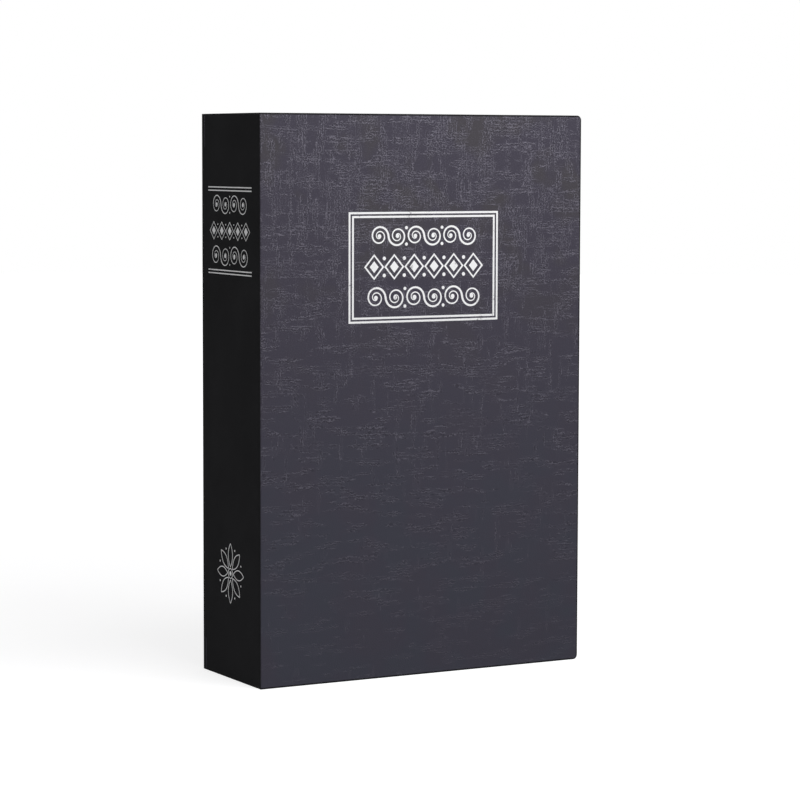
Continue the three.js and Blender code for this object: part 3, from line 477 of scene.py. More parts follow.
def moved(tree, geometry, **how):
    """Geometry after its Translation, Rotation or Scale."""
    return add(tree, "GeometryNodeTransform", {"Geometry": geometry, **how}).outputs[0]


def turned(tree, angles):
    return add(tree, "FunctionNodeEulerToRotation", {0: angles}).outputs[0]


def copies(tree, points, instance, **how):
    inputs = {"Points": points, "Instance": instance, **how}
    return add(tree, "GeometryNodeInstanceOnPoints", inputs).outputs[0]


def cylinder(tree, radius, depth, sides, rings=1):
    inputs = {"Vertices": sides, "Side Segments": rings, "Radius": radius, "Depth": depth}
    return add(tree, "GeometryNodeMeshCylinder", inputs, fill_type="NGON").outputs["Mesh"]


def grow(name, tree, values, points=()):
    """Runs a Geometry Nodes tree once on some points and keeps its result as a plain mesh."""
    mesh = bpy.data.meshes.new(name)
    mesh.from_pydata([tuple(point) for point in points], [], [])
    piece = put(name, mesh)
    modifier = piece.modifiers.new(name, "NODES")
    modifier.node_group = tree
    for item in tree.interface.items_tree:
        if item.in_out == "INPUT" and item.name in values:
            modifier[item.identifier] = values[item.name]
    keep_result(piece)
    return piece


def dome(tree, radius, height):
    """A round head that stands on z = 0: a cylinder whose rings close in along a quarter circle."""
    at = vertex(tree)
    angle = times(tree, plus(tree, at["Z"], 0.5), DOME_SWEEP)
    shrink = calc(tree, "COSINE", angle)
    rise = times(tree, calc(tree, "SINE", angle), height)
    there = vector(tree, times(tree, at["X"], shrink), times(tree, at["Y"], shrink), rise)
    return reshaped(tree, cylinder(tree, radius, 1.0, RIVET_SIDES, DOME_STEPS), there)


def rivet_tree():
    measures = {label: "Float" for label in RIVET_MEASURES}
    tree, given, result = geometry_tree("rivets", {
        "Places": "Geometry", **measures, "Turn": "Vector", "Plating": "Material",
    })
    head = dome(tree, given["Head Radius"], given["Head"])
    shank = cylinder(tree, given["Shank Radius"], given["Grip"], RIVET_SIDES)
    shank = moved(tree, shank, Translation=vector(tree, z=times(tree, given["Grip"], -0.5)))
    tail = dome(tree, given["Tail Radius"], given["Tail"])
    below = vector(tree, z=times(tree, given["Grip"], -1.0))
    tail = moved(tree, tail, Translation=below, Rotation=turned(tree, (math.pi, 0, 0)))
    one = moved(tree, join(tree, head, shank, tail), Rotation=turned(tree, given["Turn"]))
    smooth = add(tree, "GeometryNodeSetShadeSmooth", {"Geometry": one}).outputs[0]
    finish_tree(tree, copies(tree, given["Places"], smooth), given["Plating"], result)
    return tree


def head_tops(names, side):
    """The top of each CAD rivet's head. Side is the axis it points along: towards -Y for 1, +X for 0."""
    tops = []
    for name in names:
        low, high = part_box(name)
        top = (low + high) / 2
        top[side] = low[side] if side == 1 else high[side]
        tops.append(top)
    return tops


def rivet_set(kind, body, side, sizes):
    cad_names = [f"{kind}_rivet_{i}" for i in range(1, 5)]
    outward = Vector((0, -1, 0)) if side == 1 else Vector((1, 0, 0))
    values = {label: size * MM for label, size in zip(RIVET_MEASURES, sizes)}
    places = [top - outward * values["Head"] for top in head_tops(cad_names, side)]
    values["Head"] /= math.sin(DOME_SWEEP)
    values["Turn"] = outward.to_track_quat("Z", "Y").to_euler()
    values["Plating"] = zinc
    rivets = grow(f"{kind}_rivets", rivets_tree, values, places)
    rivets.data.set_sharp_from_angle(angle=SMOOTH_BELOW)
    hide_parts(*cad_names)
    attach(rivets, body)


rivets_tree = rivet_tree()
rivet_set("tray", "book_body", 1, TRAY_RIVET)
rivet_set("wall", "book_body", 0, WALL_RIVET)
rivet_set("lid", "lid", 1, LID_RIVET)


# Lid: a sheet of the same coated steel with three flanges folded back, which keep it stiff and meet
# the ledges. It hangs on the moving leaf, riveted from the front.
softened("lid_panel", "coated", coat, SHEET_EDGE)


# Floor mat: two millimetres of dark needle felt, cut round the rivet heads and laid in the tray. It
# has a soft nap and slightly crushed edges.
MAT_EDGE = 0.5 * MM
MAT_STEP = 4 * MM
SWELL = 0.3 * MM
SWELL_REACH = 14 * MM
SMALLEST_CUT = 0.05 * MM
FELT_DARK = (0.020, 0.020, 0.024)
FELT_LIGHT = (0.048, 0.048, 0.055)


def needle_felt():
    nap = {"Specular_IOR_Level": 0.1, "Sheen_Weight": 0.12, "Sheen_Roughness": 0.6}
    finish, tree, shader = begin_finish("needle_felt", FELT_DARK, 1.0, **nap)
    fibres = use_group(tree, grain, {"Grain": 0.45, "Blotch": 2.4, "Stretch": (1, 1, 0.6)})
    colour = between(tree, span(tree, fibres["Tone"], 0.15, 0.95), FELT_DARK, FELT_LIGHT)
    feed(tree, shader.inputs["Base Color"], colour)
    emboss(tree, shader, fibres["Height"], 0.25 * MM)
    return finish


def divide(shape, start, end, axis):
    """Cuts a mesh into slices of about one mat step across an axis."""
    count = round((end - start) / MAT_STEP)
    across = Vector((0, 0, 0))
    across[axis] = 1
    for i in range(1, count):
        cut = across * (start + (end - start) * i / count)
        whole = shape.verts[:] + shape.edges[:] + shape.faces[:]
        bmesh.ops.bisect_plane(shape, geom=whole, plane_co=cut, plane_no=across, dist=SMALLEST_CUT)


mat = softened("floor_mat", "felt", needle_felt(), MAT_EDGE)
mat_low, mat_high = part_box("floor_mat")
shape = bmesh.new()
shape.from_mesh(mat.data)
divide(shape, mat_low.x, mat_high.x, 0)
divide(shape, mat_low.z, mat_high.z, 2)
for corner in shape.verts:
    forward = (mat_high.y - corner.co.y) / (mat_high.y - mat_low.y)
    corner.co.y -= SWELL * forward * (0.5 + noise.noise(corner.co / SWELL_REACH))
shape.to_mesh(mat.data)
shape.free()
mat.data.attributes.remove(mat.data.attributes["custom_normal"])
mat.data.set_sharp_from_angle(angle=SMOOTH_BELOW)


# Cam lock: a turned and chromed housing and plug, brass wafers across the keyway, and zinc-plated
# washers, nut, cam and screw behind the lid.
CHROME = (0.66, 0.67, 0.69)
BRASS = (0.56, 0.39, 0.14)
TURNED_EDGE = 0.12 * MM
WAFER_EDGE = 0.05 * MM


def lock_chrome():
    finish, tree, shader = begin_finish("lock_chrome", CHROME, 0.14, Metallic=1.0)
    handled = use_group(tree, grain, {"Grain": 0.5, "Blotch": 4.0})
    feed(tree, shader.inputs["Roughness"], span(tree, handled["Tone"], 0.1, 0.9, 0.09, 0.24))
    emboss(tree, shader, handled["Height"], 0.004 * MM)
    return finish


def stamped_brass():
    finish, tree, shader = begin_finish("stamped_brass", BRASS, 0.35, Metallic=1.0)
    stamped = use_group(tree, grain, {"Grain": 0.4, "Blotch": 2.0})
    dark = tuple(0.6 * c for c in BRASS)
    feed(tree, shader.inputs["Base Color"], between(tree, stamped["Tone"], dark, BRASS))
    emboss(tree, shader, stamped["Height"], 0.01 * MM)
    return finish


chrome = lock_chrome()
brass = stamped_brass()
for name in ("lock_housing", "lock_plug"):
    softened(name, "chromed", chrome, TURNED_EDGE)
for name in ("lock_washer", "lock_nut", "stop_washer", "lock_cam", "cam_screw"):
    softened(name, "plated", zinc, TURNED_EDGE)
for i in range(1, 5):
    softened(f"wafer_{i}", "brass", brass, WAFER_EDGE)


# Page edges: three moulded plastic strips, glued round the strongbox, that pass for a block of paper.
# They have about three leaf lines to the millimetre, and each leaf stands a little in or out. The
# grooves between leaves are painted darker, painted shade.
LEAF_PITCH = 0.36 * MM
LEAF_GROOVE = 0.26 * MM
STRIP_STEP = 6 * MM
PAPER_IVORY = (0.66, 0.61, 0.49)
PAPER_SHADE = (0.58, 0.53, 0.41)
GROOVE_PAINTED_SHADE = (0.22, 0.18, 0.12)


def minus(tree, a, b):
    return calc(tree, "SUBTRACT", a, b)


def page_plastic():
    finish, tree, shader = begin_finish("page_plastic", PAPER_IVORY, 0.72, Specular_IOR_Level=0.3)
    low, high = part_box("page_strip_head")
    pitch = (high.y - low.y) / round((high.y - low.y) / LEAF_PITCH)
    place = apart(tree, own_place(tree))
    leaf = calc(tree, "DIVIDE", minus(tree, place["Y"], low.y), pitch)
    number = calc(tree, "FLOOR", leaf)
    chance = add(tree, "ShaderNodeTexWhiteNoise", {"W": number}, noise_dimensions="1D").outputs["Value"]
    aged = use_group(tree, grain, {"Grain": 1.2, "Blotch": 40.0})
    colour = between(tree, chance, PAPER_IVORY, PAPER_SHADE)
    off_crest = calc(tree, "ABSOLUTE", minus(tree, calc(tree, "FRACT", leaf), 0.5))
    # Painted shade: darker in the grooves between leaves, more on some leaves than others
    sunk = times(tree, span(tree, off_crest, 0.28, 0.5), span(tree, chance, 0.0, 1.0, 0.3, 0.8))
    colour = between(tree, sunk, colour, GROOVE_PAINTED_SHADE)
    warm = tuple(c * f for c, f in zip(PAPER_IVORY, (0.94, 0.90, 0.82)))
    colour = between(tree, times(tree, aged["Tone"], 0.3), colour, warm)
    feed(tree, shader.inputs["Base Color"], colour)
    emboss(tree, shader, aged["Height"], 0.04 * MM)
    return finish


def leaf_depth(tree, place, row, seed):
    """How far the strip's face is sunk, from 0 to 1: deep between two leaves, and a little on some."""
    spot = vector(tree, times(tree, place["X"], 9.0), times(tree, row, 1.7), seed)
    uneven = span(tree, cloud(tree, spot, 1.0, 1.0), 0.25, 0.75, soft=False)
    between_leaves = minus(tree, 1.0, calc(tree, "MODULO", row, 2.0))
    deep = times(tree, between_leaves, plus(tree, times(tree, uneven, 0.4), 0.6))
    return calc(tree, "MAXIMUM", deep, times(tree, uneven, 0.4))


def page_strip_tree():
    tree, given, result = geometry_tree("page_strip", {
        "Length": "Float", "Depth": "Float", "Wall": "Float", "Leaves": "Int", "Steps": "Int",
        "Groove": "Float", "Start Mitre": "Float", "End Mitre": "Float", "Seed": "Float",
        "Paper": "Material",
    })
    size = vector(tree, given["Length"], given["Depth"], given["Wall"])
    rows = plus(tree, times(tree, given["Leaves"], 2.0), 1.0)
    inputs = {"Size": size, "Vertices X": given["Steps"], "Vertices Y": rows, "Vertices Z": 2}
    block = add(tree, "GeometryNodeMeshCube", inputs).outputs["Mesh"]
    place = vertex(tree)
    along = plus(tree, calc(tree, "DIVIDE", place["X"], given["Length"]), 0.5)
    row = plus(tree, calc(tree, "DIVIDE", place["Y"], given["Depth"]), 0.5)
    row = calc(tree, "ROUND", times(tree, row, minus(tree, rows, 1.0)))
    outer = calc(tree, "GREATER_THAN", place["Z"], 0.0)
    inner = minus(tree, 1.0, outer)
    start = times(tree, given["Start Mitre"], minus(tree, 1.0, along))
    end = times(tree, given["End Mitre"], along)
    slide = times(tree, inner, minus(tree, start, end))
    sunk = times(tree, leaf_depth(tree, place, row, given["Seed"]), given["Groove"])
    x = plus(tree, place["X"], slide)
    z = minus(tree, place["Z"], times(tree, outer, sunk))
    inputs = {"Geometry": reshaped(tree, block, vector(tree, x, place["Y"], z)), "Shade Smooth": False}
    block = add(tree, "GeometryNodeSetShadeSmooth", inputs).outputs[0]
    finish_tree(tree, block, given["Paper"], result)
    return tree


def page_strip(name, run, out, start_mitred, end_mitred, seed):
    """One strip in its CAD solid's box: run is the way it runs, out the way its leaf lines face."""
    low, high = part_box(name)
    size = high - low
    length = abs(size.dot(run))
    wall = abs(size.dot(out))
    strip = grow(f"{name}_leaves", strip_tree, {
        "Length": length, "Depth": size.y, "Wall": wall, "Leaves": round(size.y / LEAF_PITCH),
        "Steps": round(length / STRIP_STEP), "Groove": LEAF_GROOVE,
        "Start Mitre": wall if start_mitred else 0.0, "End Mitre": wall if end_mitred else 0.0,
        "Seed": float(seed), "Paper": page_finish,
    })
    turn = Matrix((run, Vector((0, 1, 0)), out)).transposed().to_4x4()
    strip.data.transform(Matrix.Translation((low + high) / 2) @ turn)
    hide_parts(name)
    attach(strip, "book_body")


page_finish = page_plastic()
strip_tree = page_strip_tree()
page_strip("page_strip_head", Vector((1, 0, 0)), Vector((0, 0, 1)), False, True, 3)
page_strip("page_strip_tail", Vector((-1, 0, 0)), Vector((0, 0, -1)), True, False, 11)
page_strip("page_strip_fore_edge", Vector((0, 0, -1)), Vector((1, 0, 0)), True, True, 23)


# Boards: grey millboard panels for the two covers and the spine, flecked with recycled fibre. They
# are covered all round, so they show only in the rivet holes.
BOARD_GREY = (0.27, 0.24, 0.20)


def dress(name, finish):
    nodes[name].material_slots[0].material = finish


def millboard():
    finish, tree, shader = begin_finish("millboard", BOARD_GREY, 0.95, Specular_IOR_Level=0.15)
    pulp = use_group(tree, grain, {"Grain": 0.5, "Blotch": 3.0})
    pale = tuple(1.5 * c for c in BOARD_GREY)
    colour = between(tree, span(tree, pulp["Tone"], 0.2, 0.9), BOARD_GREY, pale)
    feed(tree, shader.inputs["Base Color"], colour)
    emboss(tree, shader, pulp["Height"], 0.08 * MM)
    return finish


board_finish = millboard()
for name in ("back_board", "spine_board", "front_board"):
    dress(name, board_finish)


# Endpapers and spine lining: cream paper pasted down inside the case. The turned-in edges of the
# covering show through as a low step all round.
CREAM = (0.70, 0.66, 0.55)
CREAM_DEEP = (0.66, 0.61, 0.49)
TURN_IN = 14 * MM


def pasted_paper():
    finish, tree, shader = begin_finish("endpaper", CREAM, 0.88, Specular_IOR_Level=0.2)
    laid = use_group(tree, grain, {"Grain": 0.45, "Blotch": 35.0})
    colour = between(tree, laid["Tone"], CREAM, CREAM_DEEP)
    low, high = Vector(cad_bounds[0]), Vector(cad_bounds[1])
    place = apart(tree, own_place(tree))
    to_tail = minus(tree, place["Z"], low.z)
    to_ends = calc(tree, "MINIMUM", to_tail, minus(tree, high.z, place["Z"]))
    to_edge = calc(tree, "MINIMUM", to_ends, minus(tree, high.x, place["X"]))
    wavy = plus(tree, to_edge, times(tree, laid["Tone"], 0.5 * MM))
    step = span(tree, wavy, TURN_IN - 0.5 * MM, TURN_IN + 0.9 * MM, 1.0, 0.0)
    height = plus(tree, step, times(tree, laid["Height"], 0.35))
    feed(tree, shader.inputs["Base Color"], colour)
    emboss(tree, shader, height, 0.22 * MM)
    return finish


cream_paper = pasted_paper()
for name in ("back_endpaper", "front_endpaper", "spine_lining"):
    dress(name, cream_paper)


# Covering: one sheet of blue-grey embossed paper over each board, turned in at head, tail and
# fore-edge. Rollers pressed an irregular crossing of fine threads into it, in small patches that run
# one way or the other. The threads carry a painted highlight and the grooves beside them a painted
# shade, both stronger towards the head. A narrow band along its head, tail and fore-edge is
# near-black.
COVER_BLUE = (0.056, 0.051, 0.070)
COVER_WARM = (0.060, 0.055, 0.063)
COVER_TEAL = (0.053, 0.054, 0.072)
# The next two colours are a painted highlight on the raised threads and painted shade in the grooves beside
# them and in pits
COVER_PAINTED_HIGHLIGHT = (0.185, 0.174, 0.215)
COVER_PAINTED_SHADE = (0.028, 0.026, 0.036)
# Near-black for a narrow band along the covering's head, tail and fore-edge
COVER_EDGE = (0.004, 0.004, 0.005)
# Millimetres above the book's foot where the pressing is faint and where it is strong. The same
# ramp makes the threads' painted highlight and painted shade stronger towards the head, as light
# from above would.
FAINT_BELOW = 15
STRONG_ABOVE = 225
# Millimetres between threads, and along and across a thread from one drift, waver, break or bunch
# to the next
THREAD_SPACING = 1.25
DRIFTS = (22.0, 7.0)
WAVERS = (1.2, 1.3)
BREAKS = (3.6, 1.2)
BUNCHES = (15.0, 3.8)


def thread_group():
    """Pressed threads that run along one way, bunched in patches and broken here and there."""
    inputs = {"Along": 0.0, "Across": 0.0, "Seed": 0.0, "Spacing": 1.0, "Fullness": 0.0}
    tree, given = group_tree("pressed_threads", ("Threads", "Grooves", "Band"), inputs)

    def field(size, offset):
        along = calc(tree, "DIVIDE", given["Along"], size[0])
        across = calc(tree, "DIVIDE", given["Across"], size[1])
        return cloud(tree, vector(tree, along, across, plus(tree, given["Seed"], offset)), 1.0, 1.0)

    drift = times(tree, field(DRIFTS, 0.0), 3.5)
    waver = times(tree, field(WAVERS, 5.0), 1.8)
    turns = calc(tree, "DIVIDE", given["Across"], given["Spacing"])
    turns = plus(tree, turns, plus(tree, drift, waver))
    off_line = calc(tree, "ABSOLUTE", minus(tree, calc(tree, "FRACT", turns), 0.5))
    unbroken = span(tree, plus(tree, field(BREAKS, 9.0), given["Fullness"]), 0.40, 0.50)
    band = span(tree, plus(tree, field(BUNCHES, 15.0), given["Fullness"]), 0.46, 0.53)
    there = times(tree, unbroken, band)
    thread = times(tree, span(tree, off_line, 0.27, 0.07), there)
    groove = times(tree, span(tree, off_line, 0.28, 0.42), there)
    return end_group(tree, {"Threads": thread, "Grooves": groove, "Band": band})


threads = thread_group()


def crossed_threads(tree, place, press):
    """Threads, bands and grooves of both ways together. Each way gives room where the other is strong,
    and the upright threads thin out sooner towards the foot."""
    at = apart(tree, place)
    side = times(tree, at["Y"], 0.8)
    thin = times(tree, minus(tree, press, 1.0), 0.05)
    patch = cloud(tree, place, 0.09, 1.0)
    level_share = span(tree, patch, 0.36, 0.50, 0.45, 1.0)
    upright_share = span(tree, patch, 0.64, 0.50, 0.35, 1.0)
    ways = []
    for along, across, seed, fullness, share in (
        (at["X"], at["Z"], side, thin, level_share),
        (at["Z"], at["X"], plus(tree, side, 40.0), times(tree, thin, 3.6), upright_share),
    ):
        inputs = {"Along": along, "Across": across, "Seed": seed}
        inputs |= {"Spacing": THREAD_SPACING, "Fullness": fullness}
        ways.append((use_group(tree, threads, inputs), share))
    return [
        calc(tree, "MAXIMUM", *[times(tree, way[name], share) for way, share in ways])
        for name in ("Threads", "Band", "Grooves")
    ]


def paper_ground(tree, place, press):
    """The paper's own blue-grey, drifting warm towards the head and teal towards the foot."""
    drift = cloud(tree, place, 0.05)
    warm = times(tree, span(tree, drift, 0.48, 0.66), span(tree, press, 0.45, 0.95, 0.1, 1.0))
    teal = times(tree, span(tree, drift, 0.62, 0.36, 0.3, 1.0), span(tree, press, 0.75, 0.1))
    return between(tree, teal, between(tree, warm, COVER_BLUE, COVER_WARM), COVER_TEAL)


def folded_edge(tree, place):
    """1 at the covering's head, tail and fore-edge, where it folds over the board."""
    at = apart(tree, place)
    to_ends = calc(tree, "MINIMUM", minus(tree, cad_bounds[1][2] / MM, at["Z"]), at["Z"])
    to_edge = calc(tree, "MINIMUM", to_ends, minus(tree, cad_bounds[1][0] / MM, at["X"]))
    return span(tree, to_edge, 0.95, 0.45)


def embossed_paper():
    finish, tree, shader = begin_finish("embossed_paper", COVER_BLUE, 0.55, Specular_IOR_Level=0.1)
    place = millimetres(tree)
    press = span(tree, apart(tree, place)["Z"], FAINT_BELOW, STRONG_ABOVE, soft=False)
    strength = span(tree, press, 0.0, 0.85, 0.24, 1.3, soft=False)
    lines, bands, grooves = crossed_threads(tree, place, press)
    speck = cloud(tree, place, 2.0)
    dotted = span(tree, speck, 0.38, 0.60, 0.35, 1.25)
    crowded = times(tree, span(tree, bands, 0.0, 0.8, 0.25, 1.0), span(tree, press, 0.15, 0.85))
    dots = times(tree, span(tree, speck, 0.52, 0.68), crowded)
    pits = times(tree, span(tree, speck, 0.48, 0.36), crowded)
    # Painted light: the raised threads and specks are painted lighter, a painted highlight, and the grooves
    # beside them and the pits darker, painted shade
    raised = times(tree, calc(tree, "MAXIMUM", times(tree, lines, dotted), dots), strength)
    sunk = times(tree, calc(tree, "MAXIMUM", minus(tree, grooves, raised), pits), strength)
    shaded = times(tree, sunk, span(tree, press, 0.3, 0.9, 1.15, 0.5), clamp=True)
    colour = between(tree, shaded, paper_ground(tree, place, press), COVER_PAINTED_SHADE)
    thread_painted_highlight = plus(tree, times(tree, raised, 0.55), times(tree, bands, 0.03))
    colour = between(tree, thread_painted_highlight, colour, COVER_PAINTED_HIGHLIGHT)
    # Near-black in a narrow band along the head, tail and fore-edge
    colour = between(tree, folded_edge(tree, place), colour, COVER_EDGE)
    feed(tree, shader.inputs["Base Color"], colour)
    feed(tree, shader.inputs["Roughness"], span(tree, raised, 0.0, 1.0, 0.62, 0.45))
    pressed = times(tree, lines, span(tree, press, 0.0, 1.0, 0.35, 1.0, soft=False))
    emboss(tree, shader, plus(tree, pressed, times(tree, speck, 0.4)), 0.14 * MM)
    return finish


cover_paper = embossed_paper()
for name in ("back_covering", "front_covering"):
    dress(name, cover_paper)


# Spine cloth: smooth black book cloth round the spine board and on over both joints, with a fine
# even weave. A thin strip of it lies flat across the front joint.
CLOTH_BLACK = (0.011, 0.011, 0.012)
# The lighter cloth colour is for worn patches and a painted highlight on the weave's raised crossings
CLOTH_WORN_AND_HIGHLIGHT = (0.019, 0.019, 0.0205)
THREAD_PITCH = 0.9 * MM
FOLD_REACH = 1.2 * MM
FOLD_PROUD = 0.03 * MM
FOLD_SHORT = 0.4 * MM
FOLD_STEPS = 24


def book_cloth():
    finish, tree, shader = begin_finish("book_cloth", CLOTH_BLACK, 0.8, Specular_IOR_Level=0.03)
    fibre = use_group(tree, grain, {"Grain": 0.3, "Blotch": 26.0})
    at = apart(tree, own_place(tree))
    turns = 2 * math.pi / THREAD_PITCH
    warp = calc(tree, "SINE", times(tree, plus(tree, at["X"], at["Y"]), turns))
    weft = calc(tree, "SINE", times(tree, at["Z"], turns))
    weave = span(tree, times(tree, warp, weft), -0.8, 0.8)
    # Painted highlight on the weave's raised crossings, mixed with lighter worn patches
    weave_highlight_and_wear = plus(tree, times(tree, weave, 0.35), times(tree, fibre["Tone"], 0.65))
    colour = between(tree, span(tree, weave_highlight_and_wear, 0.2, 1.0), CLOTH_BLACK, CLOTH_WORN_AND_HIGHLIGHT)
    feed(tree, shader.inputs["Base Color"], colour)
    height = plus(tree, weave, times(tree, fibre["Height"], 0.8))
    emboss(tree, shader, height, 0.06 * MM)
    return finish


def closed_strip(name, outline, heights):
    """A solid strip with one outline, its corners' x and y, at every height."""
    shape = bmesh.new()
    rings = [[shape.verts.new((x, y, z)) for x, y in outline] for z in heights]
    for lower, upper in zip(rings, rings[1:]):
        for i in range(len(outline)):
            j = (i + 1) % len(outline)
            shape.faces.new((lower[i], lower[j], upper[j], upper[i]))
    shape.faces.new(rings[0])
    shape.faces.new(list(reversed(rings[-1])))
    bmesh.ops.recalc_face_normals(shape, faces=shape.faces)
    return mesh_of(name, shape)


def cloth_fold():
    """The cloth across the front joint, drawn flat at rest: a thin strip just proud of the spine's face."""
    spine_low, spine_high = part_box("spine_cloth")
    cover_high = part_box("front_joint_cloth")[1]
    joint = [spine_low.y + FOLD_REACH, spine_low.y, cover_high.y, cover_high.y - FOLD_REACH]
    outline = [(spine_low.x - FOLD_PROUD, y) for y in joint]
    outline += [(spine_low.x + FOLD_PROUD, y) for y in reversed(joint)]
    bottom = spine_low.z + FOLD_SHORT
    top = spine_high.z - FOLD_SHORT
    heights = [bottom + (top - bottom) * step / FOLD_STEPS for step in range(FOLD_STEPS + 1)]
    fold = put("joint_cloth_fold", closed_strip("joint_cloth_fold", outline, heights))
    fold.data.materials.append(cloth)
    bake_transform(fold)


cloth = book_cloth()
for name in ("spine_cloth", "front_joint_cloth"):
    dress(name, cloth)
cloth_fold()


# Foil blocking: white foil pressed on with heated brass tools. A double frame on the cover holds
# three bands of ornament, and the spine repeats them smaller between double rules, with a fleuron
# near its foot. The bands are stock binders' tools: running scrolls and lozenges with beads.
FOIL_WHITE = (0.95, 0.95, 0.96)
FOIL_BARE = (0.30, 0.29, 0.32)
FOIL = 0.04 * MM
BEAD_SIDES = 16
# The flower's measures, in half lengths of a petal, and how far out its beads lie
PETAL_MIDDLE = 1.55
PETAL_HALF_WIDTH = 0.42
FLOWER_RING = 0.42
BEADS_AT = 0.86


def white_foil():
    finish, tree, shader = begin_finish("white_foil", FOIL_WHITE, 0.45)
    rubbed = use_group(tree, grain, {"Grain": 0.35, "Blotch": 5.0})
    worn = span(tree, rubbed["Tone"], 0.72, 0.98)
    feed(tree, shader.inputs["Base Color"], between(tree, worn, FOIL_WHITE, FOIL_BARE))
    return finish


def stroke(tree, given, curve, swell=1.0):
    """A flat ribbon of foil along a curve. It is as wide as the tool's stroke, times swell."""
    flat = calc(tree, "DIVIDE", given["Height"], given["Stroke"])
    profile = add(tree, "GeometryNodeCurvePrimitiveQuadrilateral", {"Width": 1.0, "Height": flat}).outputs[0]
    width = times(tree, given["Stroke"], swell)
    inputs = {"Curve": curve, "Profile Curve": profile, "Scale": width, "Fill Caps": True}
    return add(tree, "GeometryNodeCurveToMesh", inputs).outputs[0]


def row_of(tree, count, first, step, instance, turn=None):
    """Copies of a shape in a row along X. Every second one may be turned."""
    inputs = {"Count": count, "Start Location": vector(tree, first), "Offset": vector(tree, step)}
    row = add(tree, "GeometryNodeMeshLine", inputs).outputs[0]
    if turn is None:
        return copies(tree, row, instance)
    second = calc(tree, "MODULO", add(tree, "GeometryNodeInputIndex").outputs[0], 2.0)
    return copies(tree, row, instance, Rotation=turned(tree, vector(tree, z=times(tree, second, turn))))


def bead_pair(tree, radius, height, rise):
    """Two beads, one above the middle line and one below it."""
    bead = cylinder(tree, radius, height, BEAD_SIDES)
    above = moved(tree, bead, Translation=vector(tree, y=rise))
    return join(tree, above, moved(tree, bead, Translation=vector(tree, y=times(tree, rise, -1.0))))


def scroll_tree():
    """A band of S-scrolls: spirals in pairs, joined where their outer ends meet, with beads between."""
    tree, given, result = geometry_tree("scroll_band", {
        "Pairs": "Int", "Width": "Float", "Stroke": "Float", "Height": "Float", "Foil": "Material",
    })
    count = times(tree, given["Pairs"], 2.0)
    pitch = calc(tree, "DIVIDE", given["Width"], count)
    half = times(tree, pitch, 0.5)
    inner = times(tree, half, 0.12)
    inputs = {"Resolution": 26, "Rotations": 2.0, "Start Radius": inner, "End Radius": half, "Height": 0.0}
    spiral = add(tree, "GeometryNodeCurveSpiral", inputs).outputs[0]
    along = add(tree, "GeometryNodeSplineParameter").outputs["Factor"]
    curl = stroke(tree, given, spiral, plus(tree, times(tree, along, 0.6), 0.4))
    eye = cylinder(tree, times(tree, half, 0.2), given["Height"], BEAD_SIDES)
    first = times(tree, minus(tree, pitch, given["Width"]), 0.5)
    scrolls = row_of(tree, count, first, pitch, join(tree, curl, eye), turn=math.pi)
    dots = bead_pair(tree, times(tree, given["Stroke"], 0.75), given["Height"], times(tree, half, 0.8))
    double = times(tree, pitch, 2.0)
    start = plus(tree, times(tree, given["Width"], -0.5), double)
    gaps = minus(tree, given["Pairs"], 1.0)
    dots = row_of(tree, gaps, start, double, dots)
    finish_tree(tree, join(tree, scrolls, dots), given["Foil"], result)
    return tree


def lozenge_tree():
    """A band of lozenges, each a thin outline round a solid one, with beads in the angles."""
    tree, given, result = geometry_tree("lozenge_band", {
        "Count": "Int", "Width": "Float", "Rise": "Float", "Stroke": "Float", "Height": "Float",
        "Foil": "Material",
    })
    pitch = calc(tree, "DIVIDE", given["Width"], given["Count"])
    half = times(tree, minus(tree, pitch, given["Stroke"]), 0.5)
    tall = calc(tree, "DIVIDE", given["Rise"], times(tree, half, 2.0))
    ring = add(tree, "GeometryNodeCurvePrimitiveCircle", {"Resolution": 4, "Radius": half}).outputs[0]
    outline = stroke(tree, given, moved(tree, ring, Scale=vector(tree, 1.0, tall, 1.0)))
    heart = cylinder(tree, times(tree, half, 0.5), given["Height"], 4)
    heart = moved(tree, heart, Scale=vector(tree, 1.0, tall, 1.0))
    first = times(tree, minus(tree, pitch, given["Width"]), 0.5)
    row = row_of(tree, given["Count"], first, pitch, join(tree, outline, heart))
    rise = times(tree, given["Rise"], 0.36)
    dots = bead_pair(tree, times(tree, given["Stroke"], 0.8), given["Height"], rise)
    gaps = minus(tree, given["Count"], 1.0)
    start = plus(tree, first, times(tree, pitch, 0.5))
    dots = row_of(tree, gaps, start, pitch, dots)
    finish_tree(tree, join(tree, row, dots), given["Foil"], result)
    return tree


